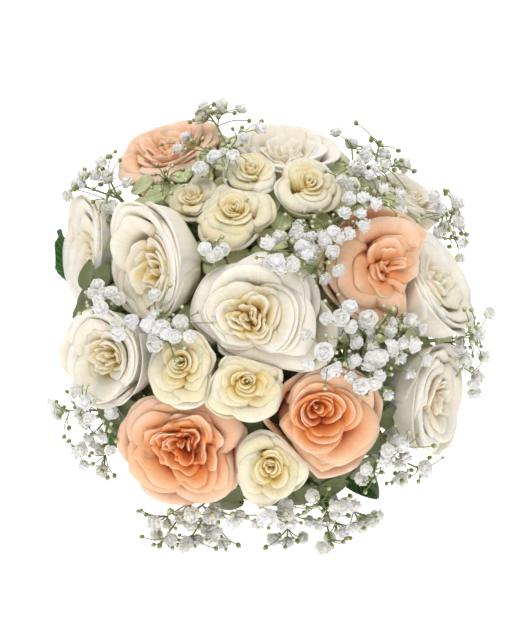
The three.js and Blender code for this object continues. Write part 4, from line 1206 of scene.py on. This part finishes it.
def leaf_blade(start, end, width, grid, pressed=True):
    """A blade over s along and t across with half width (w / 2) sin(pi s^0.8)^0.75 and a slightly uneven
    margin, folded along its rib, arched along its length and pressed clear of the blooms."""
    along = end - start
    length = np.linalg.norm(along)
    along = along / length
    out = outward((start + end) / 2) + LEAF_TO_VIEW * seen_direction(0, 0)
    face = unit(out - along * (out @ along))
    side = np.cross(face, along)
    s = np.linspace(0, 1, grid[0])[:, None]
    t = np.linspace(-1, 1, grid[1])[None, :]
    margin = 1 + LEAF_MARGIN * (((s * MARGIN_STEPS) % 1) - 0.5) * np.abs(t) ** 4
    half = width / 2 * np.maximum(0.05, np.sin(math.pi * np.minimum(1, s ** 0.8)) ** 0.75) * margin
    rise = LEAF_FOLD * width * np.abs(t) - LEAF_ARCH * length * (s - 0.4) ** 2
    wave = np.sin(s * LEAF_WAVES - np.abs(t) * LEAF_WAVE_SLANT)
    rise = rise + LEAF_WAVE * wave * (1 - np.abs(t) ** 3)
    centre = start + along * (s * length - LEAF_ROOT)[..., None]
    blade = centre + side * (t * half)[..., None] + face * rise[..., None]
    if pressed:
        blade[1:] = pushed_clear(blade[1:], LEAF_CLEAR)
    verts, quads = sheet_skin(blade[None], LEAF_THICK)
    uv = np.stack([t + 0 * s, s + 0 * t], -1)[None]
    return verts, quads, both_faces(uv)


def stem_leaves():
    """Leaves of the rose stems, in the free room between the blooms and below them: spots on a
    sunflower's spiral at two depths under the dome, that lie in no bloom and apart from each other.
    Each goes with the stem that is nearest, and has its size."""
    found = {}
    first, last = INNER_POINTS
    for reach, depth, spacing, room, size in INNER_LAYERS:
        kept = []
        a, b = spiral(INNER_SPOTS, 0, (0, 0), (reach, reach))
        spots = seen(a, b, dome_nearness(a, b) - depth)
        high_enough = spots @ TABLE_NORMAL - TABLE_DROP > INNER_LEAST_HEIGHT
        for spot in spots[~inside_bloom(spots, room) & high_enough]:
            if kept and np.linalg.norm(np.array(kept) - spot, axis=1).min() < spacing:
                continue
            kept.append(spot)
            gaps = np.linalg.norm(courses[:len(blooms), first:last] - spot, axis=-1)
            k, point = np.unravel_index(np.argmin(gaps), gaps.shape)
            found.setdefault(int(k), []).append((int(point) + first, spot, size))
    return found


def add_hip(stem, bloom, thick):
    """The hip between a stem and its bloom, lathed: radius 0.9 + 0.75 sin^2 (0.62 pi s) of the stem's."""
    share = np.linspace(0, 1, 9)
    radius = thick * (0.9 + 0.75 * np.sin(share * math.pi * 0.62) ** 2)
    bottom = -CALYX_DEPTH * 1.1
    height = bottom + share * CALYX_DEPTH * 0.98
    rings = lathe_rows(np.concatenate([[END_SHARE], radius, [END_SHARE]]),
                       np.concatenate([[bottom], height, [-CALYX_GAP]]), HIP_SIDES)
    quads = grid_quads(len(rings), HIP_SIDES, around=True)
    stem.add(in_bloom(bloom, rings), quads, np.zeros(rings.shape[:2] + (2,)))


def add_sepals(stem, bloom, k, thick):
    """Five pointed sepals that lie against the bloom. A sepal runs out from the hip by s and across by
    t: half width 0.85 (1 - s^1.6)^0.8 of the stem's radius, its place the bowl of the bloom."""
    s = np.linspace(0, 1, 9)[None, :, None]
    t = np.linspace(-1, 1, 5)[None, None, :]
    turn = (np.arange(SEPALS) * 2 * math.pi / SEPALS + k)[:, None, None]
    out = thick * 1.2 + s * (thick * 2.6)
    side = t * thick * 0.85 * (1 - s ** 1.6) ** 0.8
    bowl = 1 - np.sqrt(np.maximum(0.05, 1 - (out / bloom["size"]) ** 2))
    rise = bowl * bloom["half"] - CALYX_GAP - 0.9 * t ** 2 - 1.6 * (1 - s) ** 2
    x = out * np.cos(turn) - side * np.sin(turn)
    y = out * np.sin(turn) + side * np.cos(turn)
    sepal = np.stack(np.broadcast_arrays(x, y, rise), -1)
    verts, quads = sheet_skin(in_bloom(bloom, sepal), SEPAL_THICK)
    stem.add(verts, quads, both_faces(np.stack(np.broadcast_arrays(t, s * 2, turn)[:2], -1)))


def add_young_leaf(stem, foot, spot, size, own):
    """A young leaf at a spot, level with the dome, on a stalk from its foot on the stem. Its tone makes it
    darker olive low on the head and at its left rim."""
    out = outward(spot)
    level = (spot - foot) - out * ((spot - foot) @ out)
    level = unit(level + np.cross(out, level) * (scatter(own) - 0.5))
    reach = size * (YOUNG_REACH + YOUNG_REACH_SPREAD * scatter(own + 0.3))
    root, tip = spot - level * reach - out * 2, spot + level * reach
    stem.add(*tube(bent_path(foot, (foot + root) / 2 - out * 2, root), STALK_RADIUS, STALK_SIDES))
    width = size * (YOUNG_WIDTH + YOUNG_WIDTH_SPREAD * scatter(own + 0.5))
    # The leaf is darkened to olive low on the head and at its left rim, by its place alone.
    below, left = (DARK_BELOW - spot[1]) / DARK_BELOW_OVER, (DARK_LEFT - spot[0]) / DARK_LEFT_OVER
    dark = DARK_SHARE * min(1, max(0, below, left))
    stem.add(*leaf_blade(root, tip, width, YOUNG_GRID, False), (dark, 0, 0, 1), finish=1)


def build_stem(bloom, k):
    """A rose's stem with its hip, its sepals and its leaves."""
    stem = Parts()
    stem.add(*stem_tube(k, ROSE_STEM_SIDES))
    add_hip(stem, bloom, radii[k])
    add_sepals(stem, bloom, k, radii[k])
    for n, (point, spot, size) in enumerate(INNER_LEAVES.get(k, [])):
        add_young_leaf(stem, courses[k][point], spot, size, k * 9.1 + n * 2.3)
    name = "stem_" + bloom["name"].replace("rose_", "")
    stem.piece(name + "_green", [STEM, YOUNG_LEAF], name, "green_stem")


INNER_LEAVES = stem_leaves()
for k, bloom in enumerate(blooms):
    build_stem(bloom, k)


# Gypsophila

def bent_clear(places, radius, rooms):
    """Places moved out of the dome until no bloom is near, inside their sprig's own room, and above
    the table."""
    clear = np.array(places, float).reshape(-1, 3)
    radius = np.broadcast_to(radius, (len(clear),))
    out = outward(clear)
    for _ in range(CLEAR_ROUNDS):
        for middle, normal in rooms:
            past = (clear - middle) @ normal + radius + FIT_GAP
            clear = clear - normal * np.maximum(0, past)[:, None]
        under = radius - (clear @ TABLE_NORMAL - TABLE_DROP)
        clear = clear + TABLE_NORMAL * np.maximum(0, under)[:, None]
        for _ in range(CLEAR_STEPS):
            inside = inside_bloom(clear, radius + FIT_GAP)
            if not inside.any():
                break
            clear = clear + out * inside[:, None]
    return clear.reshape(np.shape(places))


CROWNS = np.array([seen(row[1], row[2], dome_nearness(row[1], row[2])) for row in SPRIGS])


def sprig_rooms(i):
    """Two sprigs share the room between their crowns at the plane half way."""
    others = [CROWNS[j] for j in range(len(CROWNS)) if j != i]
    return [((CROWNS[i] + other) / 2, unit(other - CROWNS[i])) for other in others]


def icosahedron():
    """The corners of a twenty-sided ball."""
    t = (1 + math.sqrt(5)) / 2
    corners = [(-1, t, 0), (1, t, 0), (-1, -t, 0), (1, -t, 0), (0, -1, t), (0, 1, t),
               (0, -1, -t), (0, 1, -t), (t, 0, -1), (t, 0, 1), (-t, 0, -1), (-t, 0, 1)]
    return unit(np.array(corners, float))


def pressed_down(place, radius, seed):
    """A tip that comes near the table is pressed down until it lies on it."""
    a, b = scatter(seed) * math.pi, scatter(seed + 0.5) * math.pi
    x, y, z = icosahedron().T * radius
    y, z = y * math.cos(a) - z * math.sin(a), y * math.sin(a) + z * math.cos(a)
    x, y = x * math.cos(b) - y * math.sin(b), x * math.sin(b) + y * math.cos(b)
    corners = np.stack([x, y, z], -1) + place
    height = (corners @ TABLE_NORMAL).min() - TABLE_DROP
    return place if height > PRESS_HEIGHT else place - TABLE_NORMAL * height


def sprig_tips(row, i, rooms):
    """The tips of a sprig on a sunflower's spiral over its crown: place, radius, whether it is a bud,
    its arm and its seed."""
    _, across, up, wide, high, lean, stand, count = row
    k = np.arange(count)
    seed = i * SEEDS_IN_SPRIG + k
    a, b = spiral(count, i, (across, up), (wide, high), lean)
    is_bud = k % BUD_EVERY == BUD_EVERY - 1
    radius = np.where(is_bud, BUD_RADIUS, FLORET_RADIUS + FLORET_SPREAD * scatter(seed))
    over = dome_nearness(a, b) + stand * (STAND_LEAST + scatter(seed + SEEDS_IN_SPRIG / 2))
    arm = np.floor((((k * GOLDEN_ANGLE + i) / (2 * math.pi)) % 1) * ARMS).astype(int)
    places = bent_clear(seen(a, b, over), radius, rooms)
    places = np.array([pressed_down(p, r, s) for p, r, s in zip(places, radius, seed)])
    return places, radius, is_bud, arm, seed


def facing_frame(facing):
    """Three unit directions as rows, the last of them facing."""
    one = unit(np.cross(facing, [0.3, 0.5, 0.81]))
    return np.stack([one, np.cross(facing, one), facing])


def floret_shape(place, radius, facing, seed):
    """A double floret: a soft ball in a ruff of spoon-shaped petals. Petal j turns by the golden angle
    and opens from upright to past flat; along it by s and across by t, it is widest at s = 0.7, frilled
    at its rim, and cupped by t squared. The ball's radius is uneven by sin 5a sin 4b."""
    j = np.arange(FLORET_PETALS)
    opened = np.radians(FLORET_OPENED + FLORET_OPENING * (j / FLORET_PETALS) ** 0.8)[:, None, None]
    turn = (j * GOLDEN_ANGLE + seed)[:, None, None]
    s = np.array(SPOON_STEPS)[None, :, None]
    t = np.array([-1.0, 0.0, 1.0])[None, None, :]
    own = scatter(seed + j * 0.37)[:, None, None]
    length = radius * (SPOON_LENGTH + SPOON_SPREAD * own)
    half = radius * np.array(SPOON_HALVES)[None, :, None]
    bend = opened + (0.25 - 0.5 * own) * s
    up, out = s * length * np.cos(bend), s * length * np.sin(bend)
    cup = radius * t ** 2 * (0.16 * own + 0.04) * s
    side = t * half
    x = (out - cup) * np.cos(turn) - side * np.sin(turn)
    y = (out - cup) * np.sin(turn) + side * np.cos(turn)
    z = up - 0.1 * radius + cup
    local = np.stack(np.broadcast_arrays(x, y, z), -1)
    axes = facing_frame(facing)
    verts, quads = sheet_skin(place + local @ axes, FLORET_THICK)
    shade = scatter(seed + 0.7)
    tone = np.zeros(local.shape[:3] + (4,)) + (0, 0, shade, 1)
    tone[..., 0] = np.clip(0.75 - 1.4 * s, 0, 1)
    tilt = np.linspace(0, math.pi, CORE_ROWS)[:, None]
    around = np.linspace(0, 2 * math.pi, CORE_SIDES, endpoint=False)[None]
    ball = radius * CORE_SHARE * (1 + CORE_UNEVEN * np.sin(5 * around + seed) * np.sin(4 * tilt))
    flat = np.maximum(END_SHARE, np.sin(tilt)) * ball
    height = -np.cos(tilt) * ball + 0.1 * radius
    core = np.stack([flat * np.cos(around), flat * np.sin(around), height], -1)
    core_tone = np.zeros(core.shape[:2] + (4,)) + (0.12, 0, shade, 1)
    core_tone[:2, :, 0] = 0.8
    quads = np.concatenate([quads, grid_quads(CORE_ROWS, CORE_SIDES, around=True) + len(verts)])
    verts = np.concatenate([verts, (place + core @ axes).reshape(-1, 3)])
    tones = np.concatenate([both_faces(tone), core_tone.reshape(-1, 4)])
    return verts, quads, np.zeros((len(verts), 2)), tones


def bud_shape(place, radius, facing, shade):
    """A bud: a round form, longer than wide, with a green cup round its lower half."""
    share = np.linspace(0, math.pi, BUD_ROWS)
    wide, high = radius * BUD_WIDE, radius * BUD_HIGH
    rings = lathe_rows(np.maximum(END_SHARE, np.sin(share)) * wide, -np.cos(share) * high, BUD_SIDES)
    tone = np.zeros(rings.shape[:2] + (4,)) + (0, 0, shade, 1)
    tone[..., 0] = np.array(BUD_TONES)[:, None]
    quads = grid_quads(BUD_ROWS, BUD_SIDES, around=True)
    return place + rings @ facing_frame(facing), quads, np.zeros(rings.shape[:2] + (2,)), tone


def in_clearing(place):
    """Whether a place is seen inside one of the clearings."""
    c, s = math.cos(SIGHT_TILT), math.sin(SIGHT_TILT)
    scale = 1 - (place[2] * c - place[1] * s) / SIGHT_DISTANCE
    a, b = place[0] / scale, (place[1] * c + place[2] * s) / scale
    return any(math.hypot(a - across, b - up) < radius for across, up, radius in CLEARINGS)


def add_twig(sprig, thick, *corners):
    """A twig that bends past some places, and thins by a fifth on its way."""
    course = bent_path(*corners)
    sprig.add(*tube(course, np.linspace(thick, thick * 0.8, len(course)), TWIG_SIDES), finish=0)


def add_tip(sprig, place, size, facing, own, bud):
    """A bud or a floret at the tip of a twig."""
    if bud:
        sprig.add(*bud_shape(place, size, facing, scatter(own)), finish=1)
    else:
        sprig.add(*floret_shape(place, size * FLORET_BLOWN, facing, own), finish=1)


def nearest(places, spot):
    """The one of some places that is nearest to a spot."""
    return places[int(np.argmin([np.linalg.norm(place - spot) for place in places]))]


def tip_sizes(bud, own, least_floret):
    """Radii of small buds and florets, each with a share of its own."""
    return np.where(bud, SMALL_BUD + SMALL_BUD_SPREAD * scatter(own), least_floret + 1.4 * scatter(own))


def add_extra_tips(sprig, i, place, bend, seed, rooms):
    """Small tips round a tip of the crown, on side twigs from its own twig past its bend. The last of
    them is a bud that stands farther off."""
    out = outward(place)
    one = unit(np.cross(out, [0.2, 0.9, 0.4]))
    two = np.cross(out, one)
    n = np.arange(EXTRA_TIPS)
    last = n == EXTRA_TIPS - 1
    own = seed * 7.3 + n
    turn = n * GOLDEN_ANGLE + seed
    far_off = np.where(last, LAST_LEAST, EXTRA_LEAST) + EXTRA_SPREAD * scatter(own + 0.1)
    offset = (one * np.cos(turn)[:, None] + two * np.sin(turn)[:, None]) * far_off[:, None]
    offset = offset + out * (EXTRA_DEPTH * (scatter(own + 0.4) - 0.6))[:, None]
    bud = (scatter(own + 0.8) < BUD_SHARES[i]) | last
    size = tip_sizes(bud, own, SMALL_FLORET)
    root = bend + (place - bend) * EXTRA_FORK
    for spot, width, small, mark in zip(bent_clear(place + offset, size, rooms), size, bud, own):
        if not in_clearing(spot):
            add_twig(sprig, SMALL_TWIG, root, (root + spot) / 2 + out * SMALL_ARCH, spot)
            add_tip(sprig, spot, width, unit(unit(spot - root) + 0.6 * out), mark, small)


def add_arms(sprig, row, i):
    """Three arms that fork from the stem to the farthest of their tips, with the other tips on twigs
    from between the arm's joint and its elbow. Returns the joints and elbows."""
    rooms = sprig_rooms(i)
    places, radius, is_bud, arm, seed = sprig_tips(row, i, rooms)
    elbows = []
    for a in range(ARMS):
        start = courses[len(blooms) + i][a]
        group = np.nonzero(arm == a)[0]
        if not len(group):
            continue
        group = group[np.argsort(-np.linalg.norm(places[group] - start, axis=1))]
        middle = places[group].mean(0)
        joint = bent_clear(start + (middle - start) * JOINT_SHARE, TWIG_RADIUS, rooms)
        far = places[group[0]]
        elbow = bent_clear((joint + far) / 2, TWIG_RADIUS, rooms)
        elbows += [joint, elbow]
        add_twig(sprig, ARM_TWIG, start, joint, elbow, far)
        for m, tip in enumerate(group):
            place = places[tip]
            bend = (elbow + far) / 2
            if m:
                foot = joint + (elbow - joint) * (m - 1) / max(1, len(group) - 1)
                bend = bent_clear((foot + place) / 2, TWIG_RADIUS, rooms)
                add_twig(sprig, TIP_TWIG, foot, bend, place)
            facing = unit(unit(place - bend) + 0.8 * outward(place))
            add_tip(sprig, place, radius[tip], facing, seed[tip], is_bud[tip])
            add_extra_tips(sprig, i, place, bend, seed[tip], rooms)
    return elbows


def add_lower_tips(sprig, row, i, elbows):
    """Small tips on a sunflower's spiral that is a little wider than the crown and below it, where no
    bloom, no clearing and no table is, each on a twig from the nearest elbow."""
    _, across, up, wide, high, lean, _, _ = row
    own = i * 91.7 + np.arange(LOWER_TIPS) * 1.3
    a, b = spiral(LOWER_TIPS, 2 * i + 1, (across, up), (wide + 4, high + 4), lean, 1.15)
    spots = seen(a, b, dome_nearness(a, b) - LOWER_DEPTH - LOWER_SPREAD * scatter(own))
    size = SMALL_FLORET + 1.6 * scatter(own + 0.2)
    free = ~inside_bloom(spots, size * 0.6) & (np.hypot(a, b) < HEAD_RADIUS)
    free &= spots @ TABLE_NORMAL - TABLE_DROP > size + 1
    free &= scatter(own + 0.9) > 0.5 * BUD_SHARES[i]
    for x, y, radius in CLEARINGS:
        free &= np.hypot(a - x, b - y) > radius
    for spot, width, mark in zip(spots[free], size[free], own[free]):
        root = nearest(elbows, spot)
        add_twig(sprig, LOWER_TWIG, root, (root + spot) / 2 + outward(spot) * LOWER_ARCH, spot)
        small = scatter(mark + 0.5) < 0.6 * BUD_SHARES[i]
        facing = unit(outward(spot) + 0.5 * unit(spot - root))
        add_tip(sprig, spot, LOWER_BUD if small else width, facing, mark, small)


def add_side_clusters(sprig, i, elbows):
    """Clusters of small tips beside the crown, each on twigs from a hub below the dome, which an arm of
    its own joins to the nearest elbow."""
    for across, up, spread, count in SIDE_CLUSTERS.get(i, []):
        own = i * 37.1 + across + np.arange(count) * 1.7
        a, b = spiral(count, across, (across, up), (spread, spread))
        hub = seen(across, up, dome_nearness(across, up) - HUB_DEPTH)
        start = nearest(elbows, hub)
        add_twig(sprig, HUB_TWIG, start, (start + hub) / 2 - outward(hub) * HUB_ARCH, hub)
        bud = scatter(own + 0.6) < BUD_SHARES[i] + 0.1
        size = tip_sizes(bud, own, CLUSTER_FLORET)
        near = dome_nearness(a, b) - CLUSTER_DEPTH + CLUSTER_SPREAD * scatter(own + 0.1)
        tips = bent_clear(seen(a, b, near), size, [])
        for spot, width, small, mark in zip(tips, size, bud, own):
            add_twig(sprig, LOWER_TWIG, hub, (hub + spot) / 2 + outward(spot) * LOWER_ARCH, spot)
            add_tip(sprig, spot, width, unit(outward(spot) + 0.4 * unit(spot - hub)), mark, small)


def build_sprig(row, i):
    """A sprig of gypsophila: its stem, its arms with their tips, and the smaller tips below and beside
    its crown."""
    sprig = Parts()
    sprig.add(*stem_tube(len(blooms) + i, STEM_SIDES), finish=0)
    elbows = add_arms(sprig, row, i)
    add_lower_tips(sprig, row, i, elbows)
    add_side_clusters(sprig, i, elbows)
    name = "gypsophila_%d" % (i + 1)
    sprig.piece(name + "_sprig", [TWIG, FLORET], name, "white_floret")


for i, row in enumerate(SPRIGS):
    build_sprig(row, i)


# Leaves

def build_leaf(row, i):
    """A leaf on its own stalk."""
    _, tip, width = row
    k = len(blooms) + len(SPRIGS) + i
    leaf = Parts()
    leaf.add(*stem_tube(k, STEM_SIDES), finish=0)
    leaf.add(*leaf_blade(starts[k], seen(*tip), width, LEAF_GRID), finish=1)
    name = "leaf_%d" % (i + 1)
    leaf.piece(name + "_blade", [STEM, LEAF], name, "dark_leaf")


for i, row in enumerate(LEAVES):
    build_leaf(row, i)


# Ribbon and tape

def build_ribbon():
    """A satin ribbon wound round the handle from its lower end up: a first turn that is level, then
    turns that each climb by less than the ribbon's width and lie over the one below, then a last turn
    that is level again. a counts the turns and w runs across: from the second turn on, its radius is
    larger by LAP (1 - w), so that its lower edge lies over the turn before."""
    level = RIBBON_TOP_Z - RIBBON_END_Z - RIBBON_WIDTH
    turns = RIBBON_TURNS + 2
    a = np.linspace(0, turns, turns * RIBBON_STEPS + 1)[:, None]
    w = np.linspace(0, 1, RIBBON_ROWS)[None, :]
    climb = np.clip((a - 1) / RIBBON_TURNS, 0, 1)
    z = RIBBON_END_Z + level * climb + RIBBON_WIDTH * w
    over = RIBBON_LAP * (1 - w) * np.clip(a - 0.6, 0, 1) + RIBBON_LAST * np.clip(a - turns + 1, 0, 1)
    folds = RIBBON_FOLD * np.sin(a * 9.1) * np.sin(w * math.pi)
    radius = BUNDLE_RADIUS + RIBBON_GAP + RIBBON_RISE * np.minimum(a, 1) + over + folds
    angle = a * 2 * math.pi + 0.4
    points = np.stack(np.broadcast_arrays(radius * np.cos(angle), radius * np.sin(angle), z), -1)
    verts, quads = sheet_skin(points[None], RIBBON_THICK)
    around = 2 * math.pi * (BUNDLE_RADIUS + 1)
    uv = np.stack(np.broadcast_arrays(w * RIBBON_WIDTH / 10, a * around / 10), -1)[None]
    ribbon = Parts()
    ribbon.add(verts, quads, both_faces(uv))
    piece = ribbon.piece("ribbon_satin", [SATIN], "ribbon_wrap", "satin_ribbon")


build_ribbon()


def build_tape():
    """The tape that binds the stems: a flat ring with the edges of its turns as small steps."""
    share = np.linspace(0, 1, 9)
    outer = BUNDLE_RADIUS + TAPE_THICK + TAPE_STEP * ((share * TAPE_TURNS) % 1)
    radius = np.concatenate([[BUNDLE_RADIUS], outer, [BUNDLE_RADIUS]])
    height = BINDING_Z - TAPE_WIDTH + TAPE_WIDTH * np.concatenate([[0], share, [1]])
    rings = lathe_rows(radius, height, TAPE_SIDES)
    last = (len(rings) - 1) * TAPE_SIDES
    j = np.arange(TAPE_SIDES)
    after = (j + 1) % TAPE_SIDES
    closing = np.stack([last + j, last + after, after, j], -1)
    quads = np.concatenate([grid_quads(len(rings), TAPE_SIDES, around=True), closing])
    ring = Parts()
    ring.add(rings, quads, np.zeros(rings.shape[:2] + (2,)))
    ring.piece("tape_ring", [TAPE], "binding_tape", "binding_tape")


build_tape()


# Camera, floor and light

scene = bpy.context.scene
head = to_row(np.zeros(3))
lift = math.radians(CAMERA_LIFT)
eye = head + CAMERA_DISTANCE * np.array([0, -math.cos(lift), math.sin(lift)])
camera_data = bpy.data.cameras.new("camera")
camera_data.sensor_width = SENSOR_WIDTH
camera_data.lens = CAMERA_LENS
camera_data.shift_x, camera_data.shift_y = CAMERA_SHIFT
camera = bpy.data.objects.new("camera", camera_data)
scene.collection.objects.link(camera)
camera.location = Vector(eye)
camera.rotation_euler = (math.pi / 2 - lift, 0, 0)
scene.camera = camera


def sweep(name, half_wide, front, back, radius, height, steps):
    """A floor that curves up into a wall behind: straight, a quarter circle, straight."""
    arc = np.linspace(0, math.pi / 2, steps)
    y = np.concatenate([[front], back + radius * np.sin(arc), [back + radius]])
    z = np.concatenate([[0], radius * (1 - np.cos(arc)), [height]])
    x = np.array([-half_wide, half_wide])
    points = np.stack(np.broadcast_arrays(x[None], y[:, None], z[:, None] - 0.0005), -1).reshape(-1, 3)
    mesh = bpy.data.meshes.new(name)
    mesh.from_pydata(points.tolist(), [], grid_quads(len(y), 2).tolist())
    for face in mesh.polygons:
        face.use_smooth = True
    made = bpy.data.objects.new(name, mesh)
    scene.collection.objects.link(made)
    return made


floor = sweep("studio_sweep", *SWEEP)
paper, tree, shader, place = new_finish("studio_paper", Roughness=0.9, Specular_IOR_Level=0.0,
                                        Emission_Color=(1, 1, 1, 1), Emission_Strength=PAPER_GLOW)
cloud = node(tree, "ShaderNodeTexNoise", {"Vector": place["Object"], "Scale": PAPER_CLOUDS})["Fac"]
colour = node(tree, "ShaderNodeValToRGB", {"Fac": cloud}, [(0.0, "#FDFDFD"), (1.0, "#FFFFFF")])["Color"]
tree.links.new(colour, shader.inputs["Base Color"])
floor.data.materials.append(paper)

world = bpy.data.worlds.new("studio_world")
world.use_nodes = True
background = world.node_tree.nodes["Background"]
background.inputs["Color"].default_value = (1, 1, 1, 1)
background.inputs["Strength"].default_value = WORLD_STRENGTH
scene.world = world


def soft_light(name, place, size, power):
    """A square soft light at a place, turned to the middle of the head."""
    data = bpy.data.lights.new(name, "AREA")
    data.shape = "SQUARE"
    data.size = size
    data.energy = power
    lamp = bpy.data.objects.new(name, data)
    scene.collection.objects.link(lamp)
    lamp.location = Vector(place)
    lamp.rotation_euler = (Vector(head) - Vector(place)).to_track_quat("-Z", "Y").to_euler()


for light in LIGHTS:
    soft_light(*light)

scene.view_settings.view_transform = "Standard"
